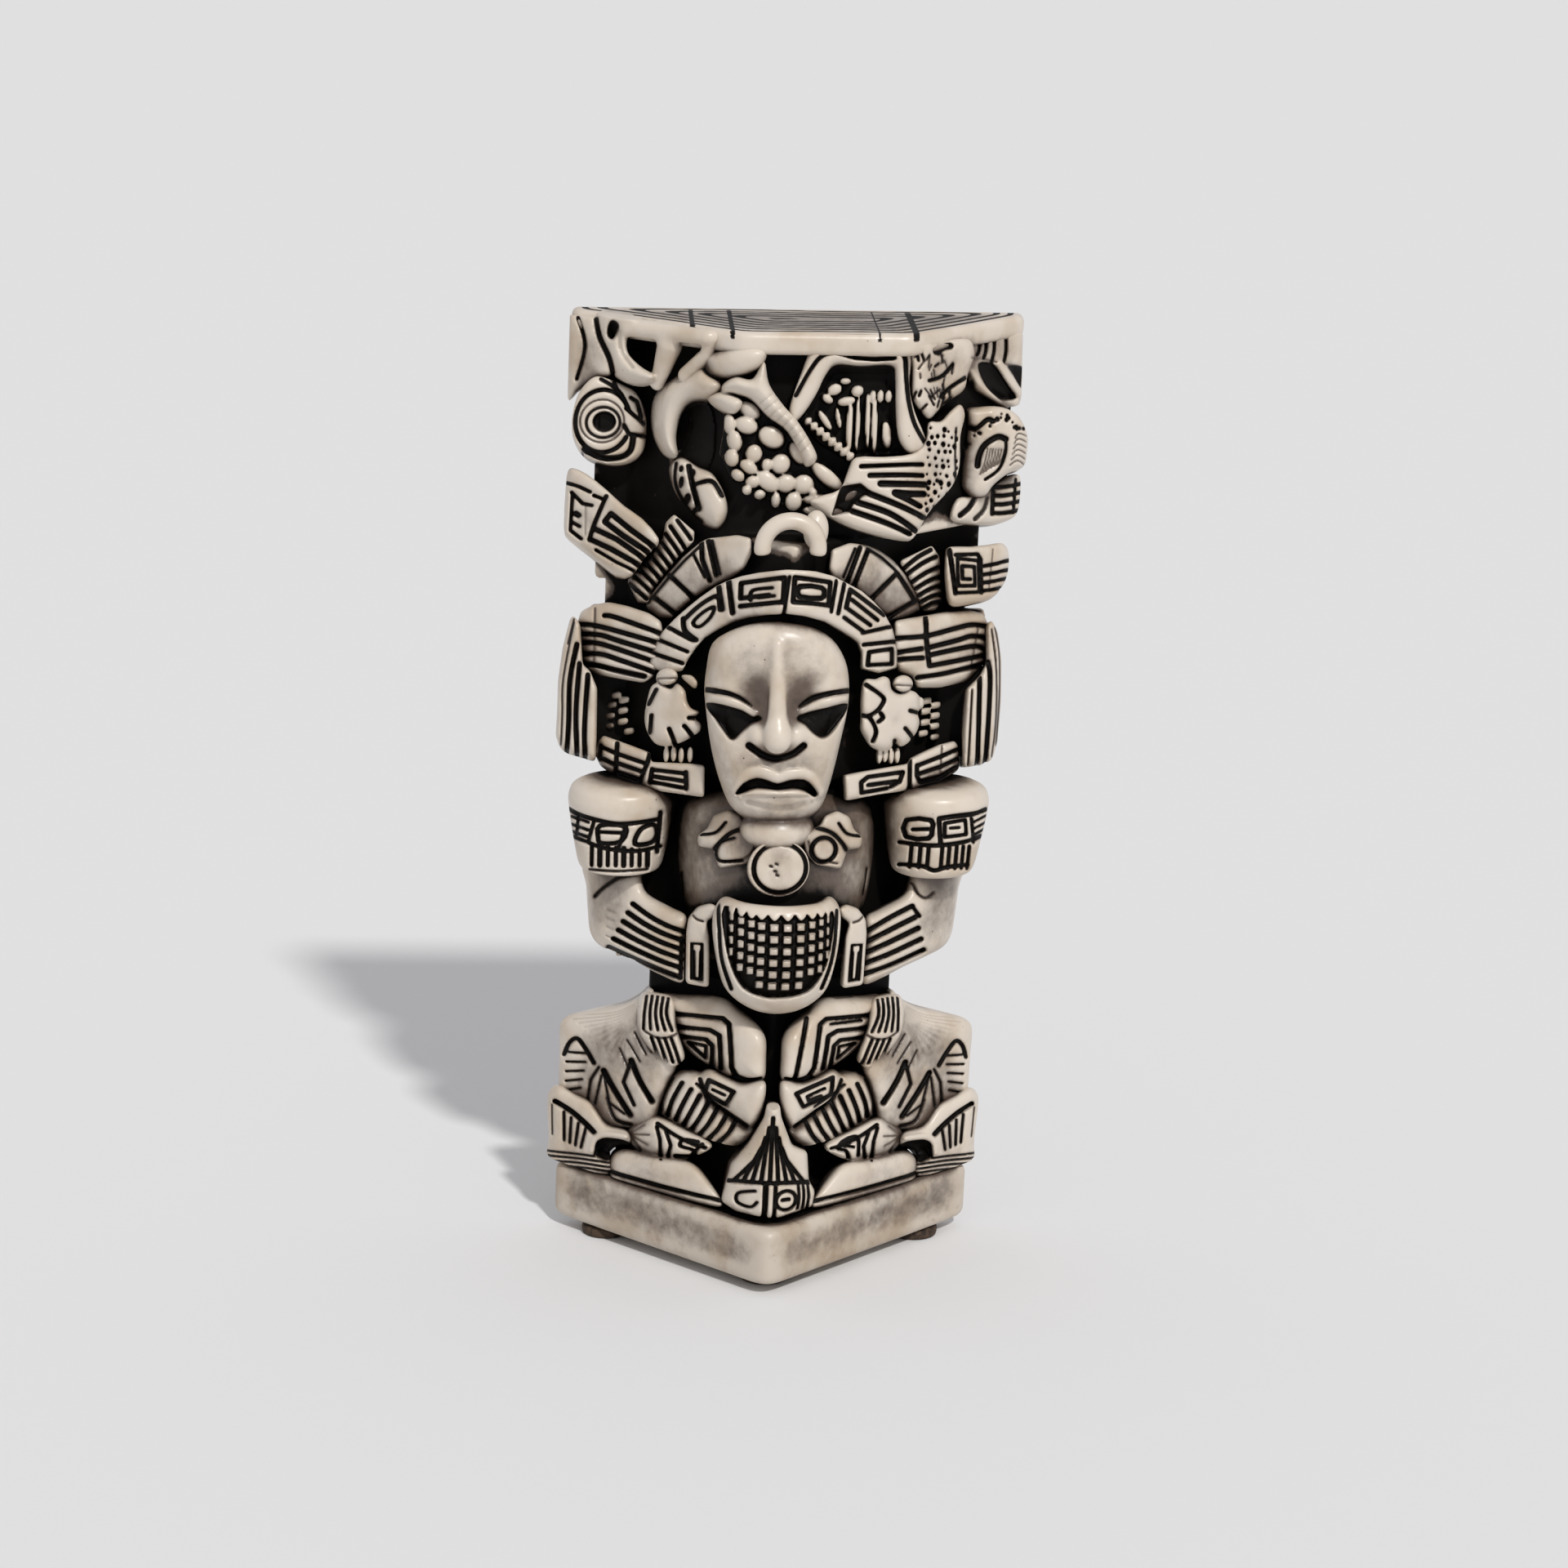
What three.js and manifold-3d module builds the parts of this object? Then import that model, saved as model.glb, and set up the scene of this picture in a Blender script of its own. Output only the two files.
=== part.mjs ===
// Ceremonial totem figure: a hand-built ceramic idol with a flat back and a V-shaped front.
// Separate press-moulded elements stand on one spine, each with a thin slip joint round it.
// Millimetres, +X to the viewer's right, +Y away from the viewer, +Z up, origin under the middle.
import * as THREE from "three";
import { mergeVertices } from "three/addons/utils/BufferGeometryUtils.js";
import Module from "manifold-3d";

const wasm = await Module();
wasm.setup();

// ---- Driving dimensions ----
const HEIGHT = 265; // floor to the top face
const DEPTH = 66; // flat back to the furthest front point
const HALF_WIDTH = 63; // widest point either side of the middle, before the lean
const RIDGE = 62; // forward reach of the V front, measured from the back
const SLOPE = 0.95; // how fast the V falls back for each millimetre sideways
const JOINT = 0.25; // slip joint left between neighbours
const LEAN = 0.021; // hand-built lean to the right, millimetres for each millimetre of height
const LEAN_PIVOT = 175; // height that the lean leaves in place
const PAD_HEIGHT = 3; // soft pads that the base stands on
const BASE_TOP = 19.7; // top of the base slab
const LEGS_TOP = 81.7; // underside of the arms
const TRUNK_TOP = 140; // underside of the head-dress
const HEAD_TOP = 190; // shoulder of the head-dress
const NECK_TOP = 208; // underside of the crown
const CROWN_TOP = 258.5; // underside of the top slab
const BACK = DEPTH / 2; // the back plane's Y

// The crown's V is cut off by a flat front, and its middle sits a little to the right.
const CROWN = { middle: 6.5, flat: 23, reach: 43 };

const BONE = { color: 0xcfc6bb, roughness: 0.52, metalness: 0 };
const WASHED = { color: 0x3a322c, roughness: 0.48, metalness: 0 };
const CORK = { color: 0x8d7256, roughness: 0.9, metalness: 0 };

const figure = new THREE.Group();

// ---- Solids ----

// A closed manifold solid from a three.js geometry, with its points merged by position.
function solid(geometry) {
  const loose = geometry.index ? geometry.toNonIndexed() : geometry;
  const bare = new THREE.BufferGeometry();
  bare.setAttribute("position", loose.getAttribute("position"));
  const merged = mergeVertices(bare, 1e-4);
  const corners = merged.index.array;
  const kept = [];
  for (let i = 0; i < corners.length; i += 3) {
    const [a, b, c] = corners.slice(i, i + 3);
    if (a !== b && b !== c && c !== a) kept.push(a, b, c);
  }
  return new wasm.Manifold(
    new wasm.Mesh({
      numProp: 3,
      vertProperties: new Float32Array(merged.getAttribute("position").array),
      triVerts: new Uint32Array(kept),
    }),
  );
}

// The union of a list of solids.
const join = (parts) => parts.reduce((whole, part) => whole.add(part));

// A solid swollen by the slip joint, as the union of its diagonal shifts.
function swollen(part) {
  const shifts = [];
  for (const x of [-JOINT, JOINT]) {
    for (const y of [-JOINT, JOINT]) {
      for (const z of [-JOINT, JOINT]) shifts.push(part.translate([x, y, z]));
    }
  }
  return join(shifts);
}

// A named mesh of one solid, leant with the rest of the figure and added to it.
function add(name, part, look = BONE) {
  const data = part.getMesh();
  const geometry = new THREE.BufferGeometry();
  geometry.setAttribute("position", new THREE.BufferAttribute(data.vertProperties, 3));
  geometry.setIndex(new THREE.BufferAttribute(data.triVerts, 1));
  const lean = new THREE.Matrix4().makeShear(0, 0, 0, 0, LEAN, 0);
  geometry.applyMatrix4(lean.setPosition(-LEAN * LEAN_PIVOT, 0, 0));
  geometry.computeVertexNormals();
  const mesh = new THREE.Mesh(geometry, new THREE.MeshStandardMaterial(look));
  mesh.name = name;
  figure.add(mesh);
}

// An outline whose corners are rounded to at most the given radius, or left sharp at zero.
function rounded(points, radius) {
  if (radius === 0) return new THREE.Shape(points.map(([x, y]) => new THREE.Vector2(x, y)));
  const shape = new THREE.Shape();
  const corner = (from, to) => {
    const reach = Math.min(radius, from.distanceTo(to) / 2.05);
    return from.clone().lerp(to, reach / from.distanceTo(to));
  };
  const at = points.map(([x, y]) => new THREE.Vector2(x, y));
  at.forEach((point, i) => {
    const before = at[(i + at.length - 1) % at.length];
    const after = at[(i + 1) % at.length];
    const start = corner(point, before);
    const end = corner(point, after);
    if (i === 0) shape.moveTo(start.x, start.y);
    else shape.lineTo(start.x, start.y);
    shape.quadraticCurveTo(point.x, point.y, end.x, end.y);
  });
  shape.closePath();
  return shape;
}

// A plan outline of [x, forward] points drawn up from one height to another.
function upright(plan, low, high, radius = 0) {
  const shape = rounded(plan.map(([x, forward]) => [x, BACK - forward]), radius);
  const settings = { depth: high - low, bevelEnabled: false, curveSegments: 4 };
  return solid(new THREE.ExtrudeGeometry(shape, settings).translate(0, 0, low));
}

// A front outline of [x, z] points drawn forward from one reach to another.
function panel(outline, near, far, radius = 1.2) {
  const settings = { depth: far - near, bevelEnabled: false, curveSegments: 3 };
  const geometry = new THREE.ExtrudeGeometry(rounded(outline, radius), settings);
  return solid(geometry.rotateX(Math.PI / 2).translate(0, BACK - near, 0));
}

// Everything behind the V front sunk by the given depth, with its ridge cut off at a reach.
function behindVee(sunk, reach = RIDGE + 20) {
  const top = RIDGE - sunk;
  const foot = (top + 40) / SLOPE;
  const shoulder = (top - reach) / SLOPE;
  const front = shoulder > 0 ? [[shoulder, reach], [-shoulder, reach]] : [[0, top]];
  return upright([[-foot, -40], [foot, -40], ...front], -10, 300);
}

// Everything behind the crown's flat-fronted V sunk by the given depth.
function behindCrown(sunk) {
  const front = CROWN.reach - sunk;
  const foot = CROWN.flat + (front + 60) / SLOPE;
  const plan = [[-foot, -60], [foot, -60], [CROWN.flat, front], [-CROWN.flat, front]];
  return upright(plan.map(([x, forward]) => [x + CROWN.middle, forward]), -10, 300);
}

// A tile that follows the V front between two depths, clear of the spine.
function tile(outline, inner, outer, reach) {
  const front = panel(outline, 0, DEPTH).intersect(behindVee(outer, reach));
  return front.subtract(behindVee(inner)).subtract(coreShadow);
}

// A tile that follows the crown's front between two depths.
function crownTile(outline, inner, outer) {
  return panel(outline, 0, DEPTH).intersect(behindCrown(outer)).subtract(behindCrown(inner));
}

// A block that runs from the back plane to a front surface, clear of the spine.
function sideBlock(outline, front) {
  return panel(outline, 0, DEPTH).intersect(front).subtract(coreShadow);
}

// A lathe round an upright axis, from a profile of [radius, z] points.
function drum(x, forward, profile, steps = 28) {
  const points = profile.map(([radius, z]) => new THREE.Vector2(radius, z));
  const geometry = new THREE.LatheGeometry(points, steps).rotateX(Math.PI / 2);
  return solid(geometry.translate(x, BACK - forward, 0));
}

// An ellipsoid.
function egg(x, forward, z, radii, steps = 24) {
  const geometry = new THREE.SphereGeometry(1, steps, steps / 2);
  geometry.scale(radii[0], radii[1], radii[2]);
  return solid(geometry.translate(x, BACK - forward, z));
}

// A round tube through [x, forward, z] points.
function tube(points, radius) {
  const shape = new THREE.Shape();
  shape.absarc(0, 0, radius, 0, Math.PI * 2);
  const at = points.map(([x, forward, z]) => new THREE.Vector3(x, BACK - forward, z));
  const settings = {
    steps: 20,
    bevelEnabled: false,
    curveSegments: 6,
    extrudePath: new THREE.CatmullRomCurve3(at),
  };
  return solid(new THREE.ExtrudeGeometry(shape, settings));
}

// A front ellipse outline.
function oval(x, z, wide, tall, count = 24) {
  return Array.from({ length: count }, (_, i) => {
    const turn = (i / count) * Math.PI * 2;
    return [x + wide * Math.cos(turn), z + tall * Math.sin(turn)];
  });
}

// A front outline of part of an arch, between two angles in degrees.
function archSector(x, z, inner, outer, from, to, count = 14) {
  const arc = (radii, start, end) =>
    Array.from({ length: count }, (_, i) => {
      const turn = THREE.MathUtils.degToRad(start + ((end - start) * i) / (count - 1));
      return [x + radii[0] * Math.cos(turn), z + radii[1] * Math.sin(turn)];
    });
  return [...arc(outer, from, to), ...arc(inner, to, from)];
}

// The same outline on the left (-1) or right (+1) side.
const sided = (outline, side) => outline.map(([x, z]) => [x * side, z]);

const SIDES = [["left", -1], ["right", 1]];

// ---- Base ----

function base() {
  const reach = RIDGE + 3.2; // the apex before it is rounded
  const plan = [[-HALF_WIDTH + 2.5, 0], [HALF_WIDTH - 2.5, 0], [HALF_WIDTH - 2.5, 5], [0, reach],
    [-HALF_WIDTH + 2.5, 5]];
  add("base_slab", upright(plan, PAD_HEIGHT, BASE_TOP, 4.5));
  const pads = [["left", -44, 10], ["right", 44, 10], ["front", 0, 46]];
  const padRadius = 7;
  for (const [place, x, forward] of pads) {
    const top = PAD_HEIGHT - JOINT;
    add(`base_pad_${place}`, drum(x, forward, [[0, 0], [padRadius, 0], [padRadius, top], [0, top]]), CORK);
  }
}

// ---- Spine ----

// One storey of the spine: a V-fronted block with a minimum thickness at its sides.
function storey(half, low, high, sunk, least) {
  const front = RIDGE - sunk;
  const knee = (front - least) / SLOPE;
  const right = knee < half ? [[half, least], [knee, least]] : [[half, front - SLOPE * half]];
  const left = right.map(([x, forward]) => [-x, forward]).reverse();
  return upright([[-half, 0], [half, 0], ...right, [0, front], ...left], low, high);
}

function spine() {
  const overlap = 0.5; // how far the storeys run into each other
  const thin = 6; // least thickness at the sides
  const crownPlan = [[-54, 0], [60, 0], [60, thin], [55, thin], [26.5, 33], [-13.5, 33], [-42, thin],
    [-54, thin]];
  return join([
    storey(42, BASE_TOP + 0.3, 58, 26, thin),
    storey(33, 57, LEGS_TOP, 26, thin),
    storey(33, 76, LEGS_TOP, 22, thin),
    storey(44, LEGS_TOP - overlap, TRUNK_TOP + overlap, 24, thin),
    storey(49.8, TRUNK_TOP, HEAD_TOP + overlap, 16, thin),
    storey(53, HEAD_TOP, NECK_TOP + overlap, 14, thin),
    upright(crownPlan, NECK_TOP, CROWN_TOP),
  ]);
}

const core = spine();
const coreShadow = swollen(core); // what the applied pieces keep clear of

// ---- Legs ----

function legs() {
  const foot = [[15, 20.1], [44, 20.1], [44, 26.5], [37, 30.5], [15, 30.5]];
  const ankle = [[19, 27], [38, 27], [40.5, 36], [34, 41.2], [21, 36]];
  const shin = [[6, 42], [31, 42], [33, 48], [28.5, 57], [20, 59], [4.6, 59], [4.6, 48.5]];
  const thigh = [[3.5, 59.6], [26, 59.6], [27, 80.8], [3.5, 80.8]];
  const hand = [[27.5, 60], [34, 57.5], [36, 66], [34.5, 75.5], [28, 75.5]];
  const wing = [[34, 42], [46, 42], [50, 44.2], [58, 43.8], [58, 57], [54.5, 61.5], [44, 66],
    [36.8, 73], [36.8, 57.3], [34, 57.3]];
  const leaf = [[44.6, 20.1], [61, 20.1], [60.6, 43], [50, 43.5], [41.5, 36], [41.5, 31.5],
    [44.6, 31.5]];
  for (const [name, side] of SIDES) {
    const sole = tile(sided(foot, side), 18, 1.5);
    add(`foot_${name}`, sole.add(tile(sided(ankle, side), 18, 4)));
    add(`shin_${name}`, tile(sided(shin, side), 22, 4));
    add(`thigh_${name}`, tile(sided(thigh, side), 21.5, 5, 54));
    add(`hand_${name}`, tile(sided(hand, side), 16, 3));
    add(`hip_wing_${name}`, sideBlock(sided(wing, side), behindVee(4)));
    add(`leaf_block_${name}`, sideBlock(sided(leaf, side), behindVee(0)));
  }
  const cloth = [[-13, 20.1], [13, 20.1], [13, 31.5], [9.3, 33], [5.2, 41.5], [3.2, 53],
    [-3.2, 53], [-5.2, 41.5], [-9.3, 33], [-13, 31.5]];
  add("loincloth", tile(cloth, 22, 1));
}

// ---- Trunk ----

function trunk() {
  const chestReach = 48; // the flat patch that carries the medallion
  const chest = [[-18, 82.1], [18, 82.1], [18, 100], [26, 106], [26, 131], [14, 137], [-14, 137],
    [-26, 131], [-26, 106], [-18, 100]];
  add("torso", tile(chest, 23.4, 12, chestReach));
  add("medallion", panel(oval(0, 120.8, 7.4, 7.4), chestReach + 0.3, chestReach + 5, 0));

  const arm = [[25.6, 84], [31, 82.1], [50, 87.5], [53, 92.5], [52.6, 112.8], [31, 112.8],
    [27.6, 103]];
  const tab = [[18.9, 82.5], [25.2, 83.5], [25.2, 99], [18.9, 99]];
  const petal = [[9.8, 125.5], [12, 116.5], [20, 117.5], [20.5, 124], [25.6, 126], [25, 133],
    [18, 135], [12.5, 131]];
  const cuffMiddle = [43.6, 17];
  const cuffProfile = [[0, 113.2], [11, 113.2], [13.4, 118], [14.1, 129], [12.6, 132], [7, 134.4],
    [0, 135]];
  for (const [name, side] of SIDES) {
    add(`arm_${name}`, sideBlock(sided(arm, side), behindVee(3)));
    const cuff = drum(side * cuffMiddle[0], cuffMiddle[1], cuffProfile);
    add(`cuff_${name}`, cuff.subtract(coreShadow));
    add(`keyhole_tab_${name}`, tile(sided(tab, side), 11.6, 1));
    add(`collar_petal_${name}`, tile(sided(petal, side), 11.6, 5));
  }
  const lip = 113; // the apron's open rim
  const bowl = egg(0, DEPTH - 17, 98, [18.6, 17, 17]).intersect(upright([[-30, 0], [30, 0], [30, 80],
    [-30, 80]], 60, lip));
  add("basket_apron", bowl.subtract(behindVee(11.6, chestReach + 0.3)));
}

// ---- Head ----

function head() {
  const faceMiddle = -1.5;
  const brow = egg(faceMiddle, 44, 162, [20, 19.5, 26.3], 28);
  const chin = egg(faceMiddle, 48, 147, [14, 15, 13.5]);
  const beard = egg(faceMiddle, 48, 134, [11, 11, 5.4]);
  const nose = egg(faceMiddle, 58, 166, [4.4, 7.4, 15], 16);
  const back = behindVee(11.6, 48.4); // the mask's flat back, just clear of the torso
  add("face_mask", join([brow, chin, beard, nose]).subtract(back));

  const arch = { x: -1, z: 167 };
  const bandInner = [22, 25];
  const bandOuter = [32, 36];
  const frontReach = 57;
  const bandOutline = archSector(arch.x, arch.z, bandInner, bandOuter, 8, 172, 22);
  add("headband", tile(bandOutline, 14.5, 2, frontReach));

  const rib = [[33.6, 169.4], [54.8, 167.4], [55, 184], [50, 187.6], [42.6, 187.6], [36.2, 182]];
  const sidePanel = [[50.6, 141], [60, 140.4], [63, 146], [63, 174], [59.5, 181], [55.4, 184],
    [55.4, 166.6], [50.6, 166.6]];
  const chinBand = [[21, 139.2], [50, 141.8], [50.2, 153], [40, 152.4], [21, 151.6]];
  const rimInner = [32.6, 36.6];
  const rimOuter = [42, 45];
  for (const [name, side] of SIDES) {
    add(`rib_panel_${name}`, tile(sided(rib, side), 15.6, 1));
    add(`side_panel_${name}`, sideBlock(sided(sidePanel, side), behindVee(-4)));
    add(`chin_band_${name}`, tile(sided(chinBand, side), 15.6, 2));
    const [from, to] = side > 0 ? [30, 76] : [104, 150];
    const rim = archSector(arch.x, arch.z, rimInner, rimOuter, from, to);
    add(`head_rim_${name}`, tile(rim, 15.6, 6));
    add(`ear_flare_${name}`, sideBlock(oval(side * 31.4, 160.6, 8, 8), behindVee(-5)));
  }
}

// ---- Shoulder bands under the crown ----

function bands() {
  const left = [[-61, 199], [-61, 217], [-59, 221], [-49, 216], [-33.8, 207], [-42, 196], [-54, 196]];
  const right = [[43, 188.2], [59, 188.2], [HALF_WIDTH - 0.6, 192], [HALF_WIDTH - 0.6, 202],
    [59, 204.5], [43, 204.5]];
  const front = behindVee(-2);
  add("band_block_left", sideBlock(left, front));
  add("band_block_right", sideBlock(right, front));
  const combLeft = [[-42.2, 189.2], [-38.8, 189.8], [-34.4, 196.4], [-27, 203.6], [-24, 206.4],
    [-25, 207.6], [-32.6, 207.6], [-41.4, 195.4]];
  const combRight = [[33.2, 196.8], [37.6, 190], [42.4, 189.2], [42.4, 204], [36, 207.6],
    [27, 207.6], [25, 205.8], [26, 204]];
  add("feather_comb_left", tile(combLeft, 13.6, 4));
  add("feather_comb_right", tile(combRight, 13.6, 4));

  const loop = { z: 206.6, forward: 51.4, radius: 7.2, thick: 2.5 };
  const path = Array.from({ length: 9 }, (_, i) => {
    const turn = THREE.MathUtils.degToRad(-12 + (i * 204) / 8);
    return [loop.radius * Math.cos(turn), loop.forward, loop.z + loop.radius * Math.sin(turn)];
  });
  add("loop_ornament", tube(path, loop.thick));
}

// ---- Crown ----

function crown() {
  const slab = [[-61, 0], [HALF_WIDTH - 1, 0], [HALF_WIDTH - 1, 6], [29.5, 43], [-16.5, 43], [-61, 6]];
  add("top_slab", upright(slab, CROWN_TOP + 0.3, HEIGHT, 3.5));

  const seat = 9.6; // where the applied pieces start in front of the core
  const beak = [[-38, 231], [-34, 248], [-23, 253], [-20.4, 249], [-21.5, 243], [-29, 240],
    [-31, 231]];
  const lobe = [[-33, 221], [-30, 228.5], [-22, 227], [-17.4, 214], [-20, 209], [-27, 210.5]];
  const pebbles = [[-19.6, 247], [-15, 251.5], [6.2, 231], [7.2, 222], [3, 217], [-8, 217.5],
    [-16.8, 226], [-19.6, 236]];
  const frame = [[-1.5, 245.6], [4.5, 258.2], [29, 258.2], [34, 236], [28.4, 236], [25.6, 252.6],
    [10, 252.6], [5, 245.6]];
  const slats = [[10.4, 233], [10.6, 252], [25, 252], [27.6, 235.6], [20, 231.8]];
  const fan = [[7.8, 215], [7.8, 228], [16, 231], [34.6, 231.4], [36.6, 240], [42, 239.4],
    [44.4, 232], [44.4, 222], [34, 209.4], [31, 208.6]];
  const feathers = [[37.6, 241], [35.4, 258.2], [62, 258.2], [62, 242], [52, 241.8], [44, 240.2]];
  const drape = [[-61, 247.6], [-61, 258.2], [-24, 258.2], [-23.6, 253.8], [-35, 249.4], [-42, 247.6]];
  add("hooked_beak", crownTile(beak, seat, -2));
  add("mottled_lobe", crownTile(lobe, seat, 0));
  add("pebble_field", crownTile(pebbles, seat, 4));
  add("window_frame", crownTile(frame, seat, 0));
  add("slat_panel", crownTile(slats, seat, 5), WASHED);
  add("finger_fan", crownTile(fan, seat, 1));
  const front = behindCrown(-3);
  add("feather_fan", sideBlock(feathers, front));
  add("drape_folds", sideBlock(drape, front));
  add("knuckled_rod", tube([[-17, 42.2, 252], [-9, 42.6, 246.4], [0, 42.6, 238], [5.6, 42.2, 230]], 2.6));

  const rosette = upright([[-70, 0], [70, 0], [70, 17], [-70, 17]], 0, HEIGHT);
  add("ring_disc", sideBlock(oval(-51, 235.6, 10.6, 10.6), rosette));
  add("rope_coil", sideBlock(oval(54.2, 228.2, 8.8, 12.2), rosette));
  const stripes = [[45, 207], [61, 207], [62.4, 210], [62.4, 220], [60, 217], [56, 214.6],
    [50, 214.6], [45, 212]];
  add("stripe_block", sideBlock(stripes, front));
}

base();
add("spine_core", core, WASHED);
legs();
trunk();
head();
bands();
crown();

export default figure;
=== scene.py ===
"""Ceremonial totem figure: an antiqued ceramic idol, sculpted in code over its CAD frame.

Every element is a block of clay: a plain form held as a signed distance on a voxel grid, with a
relief drawn on a flat sheet pressed into its front. Lengths are millimetres in the figure's own
upright frame (x to the right, f forward from the flat back, z up) until a mesh is made.
"""

import sys

import logging
import math
from collections.abc import Callable, Iterable, Sequence
from dataclasses import dataclass, field
from enum import Enum

import bpy
import numpy as np
import openvdb as vdb
from mathutils import Matrix, Vector


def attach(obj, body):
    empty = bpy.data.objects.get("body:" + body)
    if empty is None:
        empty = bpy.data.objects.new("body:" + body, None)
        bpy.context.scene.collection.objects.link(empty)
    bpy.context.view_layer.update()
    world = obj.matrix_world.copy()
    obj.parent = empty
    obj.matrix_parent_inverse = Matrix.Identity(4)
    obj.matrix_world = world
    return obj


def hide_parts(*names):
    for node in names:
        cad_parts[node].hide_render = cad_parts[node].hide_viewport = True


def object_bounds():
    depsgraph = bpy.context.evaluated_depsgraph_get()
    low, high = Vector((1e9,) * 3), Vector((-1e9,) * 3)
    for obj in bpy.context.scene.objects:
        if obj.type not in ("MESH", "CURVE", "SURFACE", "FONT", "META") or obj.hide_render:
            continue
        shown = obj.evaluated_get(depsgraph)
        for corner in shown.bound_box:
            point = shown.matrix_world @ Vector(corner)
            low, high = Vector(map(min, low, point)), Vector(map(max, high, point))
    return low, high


Array = np.ndarray
Pair = tuple[float, float]
Triple = tuple[float, float, float]
Form = Callable[["Points"], Array]
Front = Callable[["Points", float], Array]

log = logging.getLogger("totem")

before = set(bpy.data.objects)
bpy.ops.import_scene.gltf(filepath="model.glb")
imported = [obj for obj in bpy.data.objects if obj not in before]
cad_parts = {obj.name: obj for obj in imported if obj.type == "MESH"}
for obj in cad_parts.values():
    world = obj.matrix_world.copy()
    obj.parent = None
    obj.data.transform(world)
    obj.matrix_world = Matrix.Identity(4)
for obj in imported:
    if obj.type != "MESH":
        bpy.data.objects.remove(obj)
CAD_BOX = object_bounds()

# ---- The figure's driving sizes, in millimetres, as in its CAD frame ----

HEIGHT = CAD_BOX[1][2] * 1000
BACK = CAD_BOX[1][1] * 1000  # the flat back's place on Y
RIDGE = 62.0  # how far the V front's ridge stands from the back
SLOPE = 0.95  # how fast the V falls back, for each millimetre sideways
LEAN = 0.021  # the hand-built lean to the right
LEAN_PIVOT = 175.0  # the height that the lean leaves in place
SIGHT = 0.2587  # how much a forward millimetre lowers a mark for a viewer at eye height
FACING = 1.0 / math.sqrt(1.0 + SLOPE * SLOPE)  # turns a forward gap on the V into a distance
CROWN_MIDDLE, CROWN_FLAT, CROWN_REACH = 6.5, 23.0, 43.0
GROOVE = 1.25  # the carving tool's usual width
FOOTING = 19.8  # everything above the base slab starts here
FINE, PLAIN = 0.42, 0.62  # voxel sizes of carved and of plain clay


class Side(Enum):
    """The viewer's left or right."""

    LEFT = -1
    RIGHT = 1

    @property
    def word(self) -> str:
        """The side's name as the nodes spell it."""
        return self.name.lower()


@dataclass
class Points:
    """Sample points in the upright frame, as three arrays that broadcast together."""

    x: Array
    f: Array
    z: Array

    @property
    def v(self) -> Array:
        """The height at which a level viewer raised a little sees each point."""
        return self.z - SIGHT * self.f


# ---- Small field tools ----


def smooth_max(a: Array, b: Array, reach: float) -> Array:
    """The larger of two distances, with the crease between them rounded.

    Args:
        a: First distance.
        b: Second distance.
        reach: Width of the rounding, in millimetres.

    Returns:
        The blended distance.
    """
    blend = np.maximum(reach - np.abs(a - b), 0.0) / reach
    return np.maximum(a, b) + blend * blend * reach * 0.25


def smooth_min(a: Array, b: Array, reach: float) -> Array:
    """The smaller of two distances, with the crease between them filled.

    Args:
        a: First distance.
        b: Second distance.
        reach: Width of the fillet, in millimetres.

    Returns:
        The blended distance.
    """
    return -smooth_max(-a, -b, reach)


def ramp(value: Array, low: float, high: float) -> Array:
    """A smooth step from 0 at low to 1 at high.

    Args:
        value: What is tested.
        low: Where the step starts.
        high: Where the step ends.

    Returns:
        The step's height.
    """
    t = np.clip((value - low) / (high - low), 0.0, 1.0)
    return t * t * (3.0 - 2.0 * t)


def box_blur(values: Array, cells: int, axis: int) -> Array:
    """A running mean along one axis, with the edge values held.

    Args:
        values: What is blurred.
        cells: Cells either side of the middle one.
        axis: The axis.

    Returns:
        The blurred array, of the same shape.
    """
    if cells < 1:
        return values
    pad = [(0, 0)] * values.ndim
    pad[axis] = (cells + 1, cells)
    total = np.cumsum(np.pad(values, pad, mode="edge"), axis=axis, dtype=np.float64)
    size = values.shape[axis]
    ahead = np.take(total, range(2 * cells + 1, 2 * cells + 1 + size), axis=axis)
    behind = np.take(total, range(0, size), axis=axis)
    return ((ahead - behind) / (2 * cells + 1)).astype(np.float32)


def blur(values: Array, cells: int, passes: int = 2) -> Array:
    """A near-Gaussian blur of every axis.

    Args:
        values: What is blurred.
        cells: Cells either side of the middle one.
        passes: How many times the mean is taken.

    Returns:
        The blurred array.
    """
    for _ in range(passes):
        for axis in range(values.ndim):
            values = box_blur(values, cells, axis)
    return values


def sample_grid(values: Array, at: Sequence[Array]) -> Array:
    """A grid's value between its cells, by linear interpolation.

    Args:
        values: The grid, of two or three axes.
        at: One array of cell coordinates for each axis.

    Returns:
        The value at each point.
    """
    low, share = [], []
    for axis, place in enumerate(at):
        held = np.clip(place, 0, values.shape[axis] - 1.001)
        whole = held.astype(np.int32)
        low.append(whole)
        share.append((held - whole).astype(np.float32))
    found = np.zeros(np.broadcast(*low).shape, np.float32)
    for corner in np.ndindex(*(2,) * len(low)):
        weight = 1.0
        for part, step in zip(share, corner):
            weight = weight * (part if step else 1.0 - part)
        found += weight * values[tuple(part + step for part, step in zip(low, corner))]
    return found


# ---- The flat sheet that outlines and reliefs are drawn on ----


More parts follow.
